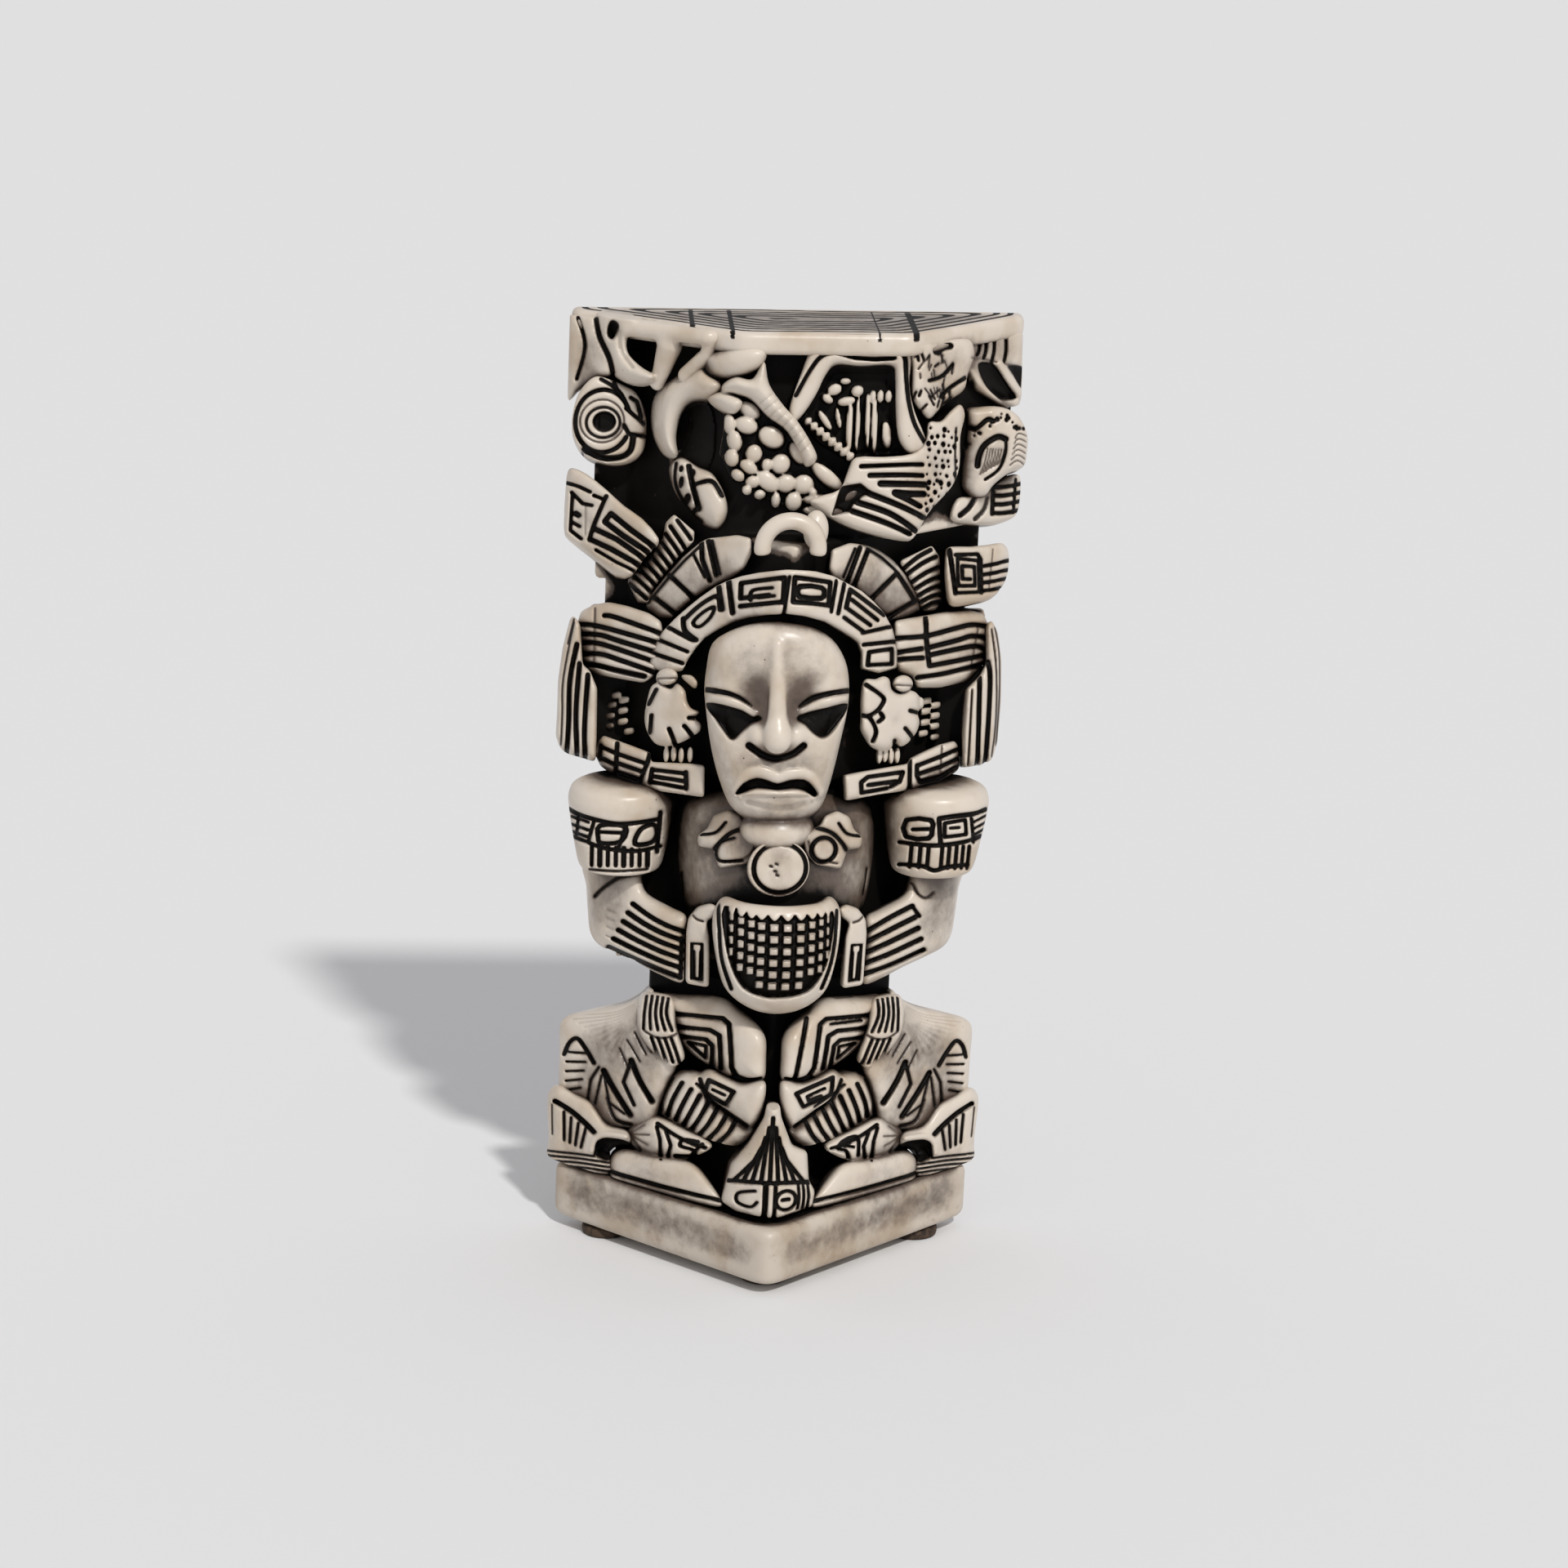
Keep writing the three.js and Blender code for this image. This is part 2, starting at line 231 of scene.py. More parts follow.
def arc(middle: Pair, radii: Pair, start: float, end: float, count: int = 24) -> list[Pair]:
    """Points along part of an ellipse.

    Args:
        middle: The ellipse's middle.
        radii: Its two radii.
        start: First angle in degrees, from +u towards +v.
        end: Last angle in degrees.
        count: How many points.

    Returns:
        The points in order.
    """
    turns = np.radians(np.linspace(start, end, count))
    return [(middle[0] + radii[0] * math.cos(t), middle[1] + radii[1] * math.sin(t)) for t in turns]


def curve(points: Sequence[Pair], closed: bool = False, steps: int = 6) -> list[Pair]:
    """A smooth Catmull-Rom line through given points.

    Args:
        points: The points.
        closed: Whether the line returns to its start.
        steps: Pieces between two points.

    Returns:
        The line's points.
    """
    at = np.array(points, float)
    count = len(at)
    line: list[Pair] = []
    spans = count if closed else count - 1
    for i in range(spans):
        take = [(i + k) % count if closed else min(max(i + k, 0), count - 1) for k in (-1, 0, 1, 2)]
        a, b, c, d = at[take]
        for t in np.arange(steps) / steps:
            point = 0.5 * (2 * b + (c - a) * t + (2 * a - 5 * b + 4 * c - d) * t * t
                           + (3 * b - a - 3 * c + d) * t ** 3)
            line.append((float(point[0]), float(point[1])))
    if not closed:
        line.append((float(at[-1][0]), float(at[-1][1])))
    return line


class Sheet:
    """A flat drawing board in millimetres, u across and v up.

    Its depth map says how deep the clay is cut (positive) or built up (negative). Its cuts are the
    same without the softening, and say where the wash pools.
    """

    PITCH = 0.14

    def __init__(self, low: Pair, high: Pair) -> None:
        """Rule an empty sheet.

        Args:
            low: The lower left corner.
            high: The upper right corner.
        """
        self.low = low
        self.u = np.arange(low[0], high[0], self.PITCH, dtype=np.float32)[:, None]
        self.v = np.arange(low[1], high[1], self.PITCH, dtype=np.float32)[None, :]
        self.depth = np.zeros((self.u.size, self.v.size), np.float32)
        self.cuts = self.depth

    def window(self, points: Sequence[Pair], reach: float) -> tuple[slice, slice]:
        """The part of the sheet near some points.

        Args:
            points: The points.
            reach: Margin round them.

        Returns:
            The two slices of the sheet's arrays.
        """
        at = np.array(points)
        low = (at.min(0) - reach - self.low) / self.PITCH
        high = (at.max(0) + reach - self.low) / self.PITCH
        first = np.maximum(low.astype(int), 0)
        last = np.maximum(high.astype(int) + 2, 0)
        return slice(first[0], last[0]), slice(first[1], last[1])

    def line_distance(self, points: Sequence[Pair], closed: bool,
                      part: tuple[slice, slice]) -> Array:
        """How far each cell of a window is from a line.

        Args:
            points: The line's points.
            closed: Whether it returns to its start.
            part: The window.

        Returns:
            The distances.
        """
        u, v = self.u[part[0]], self.v[:, part[1]]
        best = np.full((u.shape[0], v.shape[1]), 1e6, np.float32)
        ends = list(points[1:]) + ([points[0]] if closed else [])
        for (au, av), (bu, bv) in zip(points, ends):
            du, dv = bu - au, bv - av
            length = du * du + dv * dv
            along = np.clip(((u - au) * du + (v - av) * dv) / max(length, 1e-9), 0.0, 1.0)
            gap = (u - au - along * du) ** 2 + (v - av - along * dv) ** 2
            np.minimum(best, gap, out=best)
        return np.sqrt(best)

    def inside_distance(self, points: Sequence[Pair], part: tuple[slice, slice]) -> Array:
        """A signed distance to an outline, negative inside it.

        Args:
            points: The outline's corners.
            part: The window.

        Returns:
            The signed distances.
        """
        u, v = self.u[part[0]], self.v[:, part[1]]
        inside = np.zeros((u.shape[0], v.shape[1]), bool)
        for (au, av), (bu, bv) in zip(points, list(points[1:]) + [points[0]]):
            if av == bv:
                continue
            crosses = (av > v) != (bv > v)
            inside ^= crosses & (u < (bu - au) * (v - av) / (bv - av) + au)
        gap = self.line_distance(points, True, part)
        return np.where(inside, -gap, gap)

    def groove(self, points: Sequence[Pair], width: float = GROOVE, deep: float = 1.3,
               closed: bool = False) -> "Sheet":
        """Cut a round-bottomed groove along a line.

        Args:
            points: The line.
            width: The groove's width.
            deep: Its depth.
            closed: Whether it returns to its start.

        Returns:
            The sheet, for chaining.
        """
        part = self.window(points, width)
        gap = self.line_distance(points, closed, part)
        cut = deep * (1.0 - ramp(gap, width * 0.5 - 0.28, width * 0.5 + 0.28))
        self.depth[part] = np.maximum(self.depth[part], cut)
        return self

    def grooves(self, lines: Iterable[Sequence[Pair]], width: float = GROOVE,
                deep: float = 1.3) -> "Sheet":
        """Cut several grooves of one tool.

        Args:
            lines: The lines.
            width: Their width.
            deep: Their depth.

        Returns:
            The sheet, for chaining.
        """
        for line in lines:
            self.groove(line, width, deep)
        return self

    def loop(self, points: Sequence[Pair], width: float = GROOVE, deep: float = 1.3) -> "Sheet":
        """Cut a closed groove.

        Args:
            points: The loop's corners.
            width: Its width.
            deep: Its depth.

        Returns:
            The sheet, for chaining.
        """
        return self.groove(points, width, deep, closed=True)

    def area(self, points: Sequence[Pair], deep: float, soft: float = 0.5) -> "Sheet":
        """Sink (or with a negative depth, raise) the inside of an outline.

        Args:
            points: The outline.
            deep: How far its inside goes down.
            soft: Half width of the edge's slope.

        Returns:
            The sheet, for chaining.
        """
        part = self.window(points, soft + 0.5)
        share = 1.0 - ramp(self.inside_distance(points, part), -soft, soft)
        here = self.depth[part]
        self.depth[part] = here + share * (deep - here)
        return self

    def ridge(self, points: Sequence[Pair], width: float, tall: float,
              closed: bool = False) -> "Sheet":
        """Build up a round ridge along a line.

        Args:
            points: The line.
            width: The ridge's width.
            tall: Its height.
            closed: Whether it returns to its start.

        Returns:
            The sheet, for chaining.
        """
        part = self.window(points, width)
        gap = self.line_distance(points, closed, part) / (0.5 * width)
        swell = tall * np.sqrt(np.maximum(1.0 - gap * gap, 0.0))
        self.depth[part] = np.where(swell > 0, np.minimum(self.depth[part], -swell), self.depth[part])
        return self

    def frame_of(self, corners: Sequence[Pair]) -> Callable[[float, float], Pair]:
        """A mapping from the unit square onto a four-cornered field.

        Args:
            corners: Lower left, lower right, upper right and upper left corners.

        Returns:
            A function from two shares to a point.
        """
        a, b, c, d = (np.array(corner, float) for corner in corners)

        def place(s: float, t: float) -> Pair:
            point = (1 - s) * (1 - t) * a + s * (1 - t) * b + s * t * c + (1 - s) * t * d
            return float(point[0]), float(point[1])

        return place

    def key(self, corners: Sequence[Pair], turns: int = 2, width: float = GROOVE,
            flip: bool = False) -> "Sheet":
        """Cut a square-spiral key inside a four-cornered field.

        Args:
            corners: The field's corners, from the lower left anticlockwise.
            turns: How many times the spiral goes round.
            width: The groove's width.
            flip: Whether it winds the other way.

        Returns:
            The sheet, for chaining.
        """
        place = self.frame_of(corners)
        step = 0.5 / (turns + 0.45)
        line: list[Pair] = []
        for turn in range(turns):
            near, far = turn * step, 1.0 - turn * step
            line += [(near, near), (far, near), (far, far), (near, far)]
            line.append((near, near + step))
        middle = turns * step
        line.append((1.0 - middle, middle))
        spots = [(1.0 - s if flip else s, t) for s, t in line]
        return self.groove([place(s, t) for s, t in spots], width)

    def fan(self, first: Sequence[Pair], last: Sequence[Pair], count: int,
            width: float = GROOVE) -> "Sheet":
        """Cut grooves spread evenly between two lines.

        Args:
            first: The first line.
            last: The last line, with as many points.
            count: How many grooves, the two lines among them.
            width: Their width.

        Returns:
            The sheet, for chaining.
        """
        for i in range(count):
            t = i / (count - 1)
            self.groove(curve([((1 - t) * a + t * c, (1 - t) * b + t * d)
                               for (a, b), (c, d) in zip(first, last)], steps=4), width)
        return self

    def bump(self, middle: Pair, radii: Pair, turn: float, tall: float) -> "Sheet":
        """Raise a domed stone out of the sheet.

        Args:
            middle: Its middle.
            radii: Its two radii.
            turn: How far it is turned, in degrees.
            tall: How far it rises from the sheet's level 0 to its top.

        Returns:
            The sheet, for chaining.
        """
        part = self.window([middle], max(radii))
        u, v = self.u[part[0]] - middle[0], self.v[:, part[1]] - middle[1]
        c, s = math.cos(math.radians(turn)), math.sin(math.radians(turn))
        reach = ((u * c + v * s) / radii[0]) ** 2 + ((v * c - u * s) / radii[1]) ** 2
        rise = np.sqrt(np.maximum(1.0 - reach, 0.0))
        here = self.depth[part]
        dome = here * (1.0 - ramp(rise, 0.0, 0.5)) - tall * rise
        self.depth[part] = np.where(rise > 0, np.minimum(here, dome), here)
        return self

    def softened(self, pillow: float = 0.32) -> "Sheet":
        """Round the cuts off and let the clay between them swell, as under a thumb.

        Args:
            pillow: How strongly the clay near a cut sinks towards it.

        Returns:
            The sheet, for chaining.
        """
        wide = blur(np.maximum(self.depth, 0.0), round(0.8 / self.PITCH))
        self.cuts = blur(self.depth, 1, 1)
        self.depth = self.cuts + pillow * wide
        return self

    def at(self, u: Array, v: Array) -> Array:
        """The depth map under each point.

        Args:
            u: Places across.
            v: Places up.

        Returns:
            The depth in millimetres.
        """
        return sample_grid(self.depth, ((u - self.low[0]) / self.PITCH, (v - self.low[1]) / self.PITCH))

    def cut_at(self, u: Array, v: Array) -> Array:
        """The unsoftened cut under each point.

        Args:
            u: Places across.
            v: Places up.

        Returns:
            The cut in millimetres.
        """
        return sample_grid(self.cuts, ((u - self.low[0]) / self.PITCH, (v - self.low[1]) / self.PITCH))


class Outline:
    """A closed outline, kept as a map of signed distance."""

    MARGIN = 9.0

    def __init__(self, points: Sequence[Pair], corner: float = 0.8) -> None:
        """Draw the outline.

        Args:
            points: Its corners.
            corner: How round its corners are.
        """
        at = np.array(points)
        low, high = at.min(0) - self.MARGIN, at.max(0) + self.MARGIN
        self.low, self.high = tuple(at.min(0)), tuple(at.max(0))
        self.sheet = Sheet(tuple(low), tuple(high))
        whole = (slice(None), slice(None))
        gaps = self.sheet.inside_distance(points, whole)
        self.sheet.depth = blur(gaps, round(corner / Sheet.PITCH / 2)) if corner else gaps

    def at(self, u: Array, v: Array) -> Array:
        """The signed distance at each point, negative inside.

        Args:
            u: Places across.
            v: Places up.

        Returns:
            The distances.
        """
        left, low = float(self.sheet.u.min()), float(self.sheet.v.min())
        right, high = float(self.sheet.u.max()), float(self.sheet.v.max())
        over = np.maximum(np.maximum(left - u, u - right), 0.0)
        return self.sheet.at(u, v) + over + np.maximum(np.maximum(low - v, v - high), 0.0)


# ---- Plain forms ----


def vee(p: Points, sunk: float = 0.0, edge: float = 1.5) -> Array:
    """The distance in front of the V front.

    Args:
        p: The points.
        sunk: How deep this surface lies under the outermost V.
        edge: How round the ridge is.

    Returns:
        The distances, negative behind the surface.
    """
    sideways = np.sqrt(p.x * p.x + edge * edge) - edge
    return (p.f - (RIDGE - sunk - SLOPE * sideways)) * FACING


def crown_front(p: Points, sunk: float = 0.0) -> Array:
    """The distance in front of the crown's flat-fronted V.

    Args:
        p: The points.
        sunk: How deep this surface lies under the outermost one.

    Returns:
        The distances, negative behind the surface.
    """
    flat = p.f - (CROWN_REACH - sunk)
    past = np.abs(p.x - CROWN_MIDDLE) - CROWN_FLAT
    return smooth_max(flat, (flat + SLOPE * past) * FACING, 4.0)


def ball(p: Points, middle: Triple, radii: Triple) -> Array:
    """The distance to an ellipsoid.

    Args:
        p: The points.
        middle: Its middle, as x, f and z.
        radii: Its radii in the same order.

    Returns:
        The distances, close to true ones near the surface.
    """
    a = ((p.x - middle[0]) / radii[0]) ** 2
    b = ((p.f - middle[1]) / radii[1]) ** 2
    c = ((p.z - middle[2]) / radii[2]) ** 2
    near = np.sqrt(a + b + c)
    steep = np.sqrt(a / radii[0] ** 2 + b / radii[1] ** 2 + c / radii[2] ** 2)
    return near * (near - 1.0) / np.maximum(steep, 1e-6)


def rod(p: Points, start: Triple, end: Triple, radius: float, finish: float | None = None) -> Array:
    """The distance to a round-ended rod, which may taper.

    Args:
        p: The points.
        start: One end, as x, f and z.
        end: The other end.
        radius: The radius at the start.
        finish: The radius at the end, if it differs.

    Returns:
        The distances.
    """
    way = [b - a for a, b in zip(start, end)]
    length = sum(part * part for part in way)
    off = [p.x - start[0], p.f - start[1], p.z - start[2]]
    along = np.clip((off[0] * way[0] + off[1] * way[1] + off[2] * way[2]) / length, 0.0, 1.0)
    gap = sum((o - along * w) ** 2 for o, w in zip(off, way))
    thick = radius if finish is None else radius + (finish - radius) * along
    return np.sqrt(gap) - thick


def lathe(p: Points, middle: Pair, profile: Sequence[Pair], round_by: float = 0.8) -> Array:
    """The distance to a turned form round an upright axis.

    Args:
        p: The points.
        middle: The axis, as x and f.
        profile: Its half outline, as radius and z.
        round_by: How round its edges are.

    Returns:
        The distances.
    """
    full = [(-r, z) for r, z in reversed(profile)] + list(profile)
    shape = Outline(full, round_by)
    radius = np.sqrt((p.x - middle[0]) ** 2 + (p.f - middle[1]) ** 2)
    return shape.at(radius, p.z + np.zeros_like(radius))


# ---- Clay ----


class Finish(Enum):
    """Which ceramic finish a piece wears."""

    BONE = "bone"
    BASE = "base"
    # near-black for the spine and the window's slats: heavy wash together with painted shade of deep
    # recesses
    WASH = "wash"
    CORK = "cork"


@dataclass
class Clay:
    """One element: its plain form, the relief pressed into it and the nodes it stands for.

    The box keeps the element inside the space of its CAD node.
    """

    name: str
    nodes: tuple[str, ...]
    low: Triple
    high: Triple
    form: Form
    relief: Sheet | None = None
    finish: Finish = Finish.BONE
    pitch: float = FINE
    wash: Form | None = None
    points: Array = field(default_factory=lambda: np.zeros((0, 3)))
    object: bpy.types.Object | None = None


class Kiln:
    """Turns clay into meshes and measures how hollow the figure is round every point."""

    CELL = 1.0  # size of a cell of the shared map of where clay is
    BACKED = 0.4  # how far in front of the spine's flat back every other element stops

    def __init__(self) -> None:
        """Start with an empty figure."""
        self.low = np.array([CAD_BOX[0][0] * 1000 - 12.0, -8.0, -8.0])
        high = np.array([CAD_BOX[1][0] * 1000 + 12.0, 78.0, HEIGHT + 8.0])
        self.shape = tuple(((high - self.low) / self.CELL).astype(int))
        self.filled = np.zeros(self.shape, np.float32)
        self.pieces: list[Clay] = []

    def fire(self, clay: Clay) -> None:
        """Mesh one element and note where its clay lies.

        Args:
            clay: The element.
        """
        pitch = clay.pitch
        low = np.array(clay.low) - 2.5 * pitch
        counts = np.ceil((np.array(clay.high) + 2.5 * pitch - low) / pitch).astype(int) + 1
        axes = [(low[i] + pitch * np.arange(counts[i])).astype(np.float32) for i in range(3)]
        p = Points(axes[0][:, None, None], axes[1][None, :, None], axes[2][None, None, :])
        gap = np.broadcast_to(clay.form(p), tuple(counts)).astype(np.float32)
        for axis, value in enumerate((p.x, p.f, p.z)):
            gap = np.maximum(gap, np.maximum(clay.low[axis] - value, value - clay.high[axis]))
        if clay.finish is not Finish.WASH:
            gap = np.maximum(gap, self.BACKED - p.f)
        if clay.relief is not None:
            gap = self.press(clay, gap, axes, pitch)
        self.note(gap, low, pitch)
        solid = np.clip(0.5 - gap / (2.0 * pitch), 0.0, 1.0)
        local = blur(solid, max(1, round(0.75 / pitch)))
        grid = vdb.FloatGrid(3.0 * pitch)
        grid.copyFromArray(np.clip(gap, -3.0 * pitch, 3.0 * pitch))
        points, triangles, quads = grid.convertToPolygons(0.0, 0.0)
        at = points.astype(np.float32)
        clay.points = at * pitch + low
        clay.object = self.mesh_of(clay, triangles, quads)
        crease = (sample_grid(local, (at[:, 0], at[:, 1], at[:, 2])) - 0.5) * 2.0
        self.attribute(clay, "crease", crease)
        self.attribute(clay, "carved", self.carved(clay))
        self.pieces.append(clay)

    @staticmethod
    def press(clay: Clay, gap: Array, axes: Sequence[Array], pitch: float) -> Array:
        """Press an element's relief into the faces that look forward.

        Args:
            clay: The element.
            gap: Its plain signed distance.
            axes: The grid's coordinates along each axis.
            pitch: The grid's spacing.

        Returns:
            The signed distance with the relief in it.
        """
        i, j, k = np.nonzero(np.abs(gap) < 3.2)
        ahead, behind = np.minimum(j + 1, gap.shape[1] - 1), np.maximum(j - 1, 0)
        facing = (gap[i, ahead, k] - gap[i, behind, k]) / (2.0 * pitch)
        height = axes[2][k] - SIGHT * axes[1][j]
        depth = clay.relief.at(axes[0][i], height)
        pressed = gap.copy()
        pressed[i, j, k] += depth * np.clip(facing * 3.0 - 0.3, 0.0, 1.0)
        return pressed

    def note(self, gap: Array, low: Array, pitch: float) -> None:
        """Add an element's clay to the shared map.

        Args:
            gap: Its signed distance.
            low: The grid's first point.
            pitch: The grid's spacing.
        """
        size = np.array(gap.shape) * pitch
        first = np.maximum(np.ceil((low - self.low) / self.CELL).astype(int), 0)
        last = np.minimum(((low + size - self.low) / self.CELL).astype(int), np.array(self.shape))
        cells = [np.arange(a, b) for a, b in zip(first, last)]
        pick = [np.clip(((c * self.CELL + self.low[n] - low[n]) / pitch).round().astype(int), 0,
                        gap.shape[n] - 1) for n, c in enumerate(cells)]
        here = np.clip(0.5 - gap[np.ix_(*pick)] / self.CELL, 0.0, 1.0)
        part = np.ix_(*cells)
        self.filled[part] = np.maximum(self.filled[part], here)

    @staticmethod
    def carved(clay: Clay) -> Array:
        """How deep the relief is cut at each point of an element's mesh.

        Args:
            clay: The element.

        Returns:
            The depths in millimetres, 0 on a face that looks away.
        """
        if clay.wash is not None:
            return clay.wash(Points(*clay.points.T))
        if clay.relief is None:
            return np.zeros(len(clay.points), np.float32)
        normals = np.zeros(len(clay.points) * 3, np.float32)
        clay.object.data.vertex_normals.foreach_get("vector", normals)
        facing = np.clip(-normals[1::3] * 3.0, 0.0, 1.0)
        x, f, z = clay.points.T
        depth = clay.relief.cut_at(x, z - SIGHT * f)
        return np.maximum(depth, 0.0) * facing

    @staticmethod
    def mesh_of(clay: Clay, triangles: Array, quads: Array) -> bpy.types.Object:
        """Build an element's Blender object.

        Args:
            clay: The element, with its points set.
            triangles: Three-cornered faces.
            quads: Four-cornered faces.

        Returns:
            The object, in metres and with the figure's lean.
        """
        x, f, z = clay.points.T
        places = np.stack([x + LEAN * (z - LEAN_PIVOT), BACK - f, z], axis=1) / 1000.0
        mesh = bpy.data.meshes.new(clay.name)
        mesh.vertices.add(len(places))
        mesh.vertices.foreach_set("co", places.astype(np.float32).ravel())
        corners = np.concatenate([triangles[:, ::-1].ravel(), quads[:, ::-1].ravel()]).astype(np.int32)
        starts = np.concatenate([np.arange(len(triangles)) * 3,
                                 len(triangles) * 3 + np.arange(len(quads)) * 4]).astype(np.int32)
        mesh.loops.add(len(corners))
        mesh.loops.foreach_set("vertex_index", corners)
        mesh.polygons.add(len(starts))
        mesh.polygons.foreach_set("loop_start", starts)
        mesh.update(calc_edges=True)
        mesh.shade_smooth()
        made = bpy.data.objects.new(clay.name, mesh)
        bpy.context.scene.collection.objects.link(made)
        return made

    @staticmethod
    def attribute(clay: Clay, name: str, values: Array) -> None:
        """Store one number for each point of an element's mesh.

        Args:
            clay: The element.
            name: The attribute's name.
            values: The numbers.
        """
        made = clay.object.data.attributes.new(name, "FLOAT", "POINT")
        made.data.foreach_set("value", values.astype(np.float32))

    def measure_hollows(self) -> None:
        """Give every mesh the share of clay round each point, at two sizes of neighbourhood.

        These shares darken the finishes as painted shade, together with the wash in hollows. Points near the
        flat back count as more open than they are, so they take less of that painted shade.
        """
        near = blur(self.filled, 2)
        wide = blur(self.filled, 5)
        for clay in self.pieces:
            at = [(clay.points[:, n] - self.low[n]) / self.CELL for n in range(3)]
            # lowers the hollowness near the flat back, which lightens the painted shade there
            wiped = 0.6 * (1.0 - ramp(clay.points[:, 1], 0.6, 3.0))
            self.attribute(clay, "nook", (sample_grid(near, at) - 0.5) * 2.0 - wiped)
            self.attribute(clay, "cave", (sample_grid(wide, at) - 0.5) * 2.0 - wiped)


# ---- Shared ways of making an element ----


def tile(outline: Outline, sunk: float, thick: float, edge: float = 1.8,
         front: Front = vee) -> Form:
    """A slab that follows the figure's front behind an outline.

    Args:
        outline: Its outline, on the sight sheet.
        sunk: How deep its face lies under the outermost front.
        thick: How far it reaches back from its face.
        edge: How round its front edges are.
        front: The front that it follows.

    Returns:
        The form.
    """

    def form(p: Points) -> Array:
        side = outline.at(p.x, p.v)
        return np.maximum(smooth_max(front(p, sunk), side, edge), -front(p, sunk + thick))

    return form


def joined(*forms: Form, reach: float = 1.0) -> Form:
    """Several forms grown into one.

    Args:
        forms: The forms.
        reach: Width of the fillets between them.

    Returns:
        The form.
    """

    def form(p: Points) -> Array:
        whole = forms[0](p)
        for other in forms[1:]:
            whole = smooth_min(whole, other(p), reach)
        return whole

    return form


def span(outline: Outline, sunk: float, thick: float) -> tuple[Triple, Triple]:
    """The box that an element behind an outline can fill.

    Args:
        outline: Its outline, on the sight sheet.
        sunk: How deep its face lies under the outermost front.
        thick: How far it reaches back from its face.

    Returns:
        The box's lowest and highest corners.
    """
    left, right = outline.low[0], outline.high[0]
    near = 0.0 if left < 0 < right else min(abs(left), abs(right))
    front = min(RIDGE - sunk - SLOPE * near + 6.0, RIDGE + 4.0)
    back = max(0.0, RIDGE - sunk - thick - SLOPE * max(abs(left), abs(right)) - 22.0)
    low = (left - 0.5, back, max(outline.low[1] + SIGHT * back - 0.5, FOOTING))
    return low, (right + 0.5, front, min(outline.high[1] + SIGHT * front + 0.5, HEIGHT))


def applied(name: str, outline: Outline, sunk: float, thick: float, sheet: Sheet | None = None,
            edge: float = 2.5, front: Front = vee, finish: Finish = Finish.BONE) -> Clay:
    """An element luted on: a tile behind its outline, with its relief.

    Args:
        name: The element's and its node's name.
        outline: Its outline, on the sight sheet.
        sunk: How deep its face lies under the outermost front.
        thick: How far it reaches back from its face.
        sheet: Its relief.
        edge: How round its front edges are.
        front: The front that it follows.
        finish: Its finish.

    Returns:
        The element.
    """
    low, high = span(outline, sunk, thick)
    return Clay(name, (name,), low, high, tile(outline, sunk, thick, edge, front), sheet, finish)


def sheet_over(outline: Outline) -> Sheet:
    """An empty sheet that covers an outline.

    Args:
        outline: The outline.

    Returns:
        The sheet.
    """
    return Sheet((outline.low[0] - 3, outline.low[1] - 3), (outline.high[0] + 3, outline.high[1] + 3))


def mirrored_outline(outline: Outline, side: Side) -> Outline:
    """An outline on one side, from the one drawn on the right.

    Args:
        outline: The outline on the right.
        side: The side wanted.

    Returns:
        The outline on that side.
    """
    if side is Side.RIGHT:
        return outline
    turned = Outline.__new__(Outline)
    turned.low, turned.high = (-outline.high[0], outline.low[1]), (-outline.low[0], outline.high[1])
    turned.sheet = mirrored_sheet(outline.sheet, side)
    return turned


def mirrored_sheet(sheet: Sheet, side: Side) -> Sheet:
    """A sheet on one side, from the one drawn on the right.

    Args:
        sheet: The sheet on the right.
        side: The side wanted.

    Returns:
        The sheet on that side.
    """
    if side is Side.RIGHT:
        return sheet
    turned = Sheet.__new__(Sheet)
    last = sheet.low[0] + (sheet.u.size - 1) * Sheet.PITCH
    turned.low = (-last, sheet.low[1])
    turned.u, turned.v = -sheet.u[::-1], sheet.v
    turned.depth, turned.cuts = sheet.depth[::-1], sheet.cuts[::-1]
    return turned


def sided_clay(name: str, side: Side, low: Triple, high: Triple, form: Form,
               sheet: Sheet | None) -> Clay:
    """An element on one side, in a box given as it lies on the right.

    Args:
        name: The element's name without its side.
        side: The side.
        low: The box's lowest corner on the right.
        high: Its highest corner on the right.
        form: The form, already on its side.
        sheet: The relief, already on its side.

    Returns:
        The element.
    """
    full = f"{name}_{side.word}"
    if side is Side.LEFT:
        low, high = (-high[0], low[1], low[2]), (-low[0], high[1], high[2])
    return Clay(full, (full,), low, high, form, sheet)


# ---- Base and spine ----


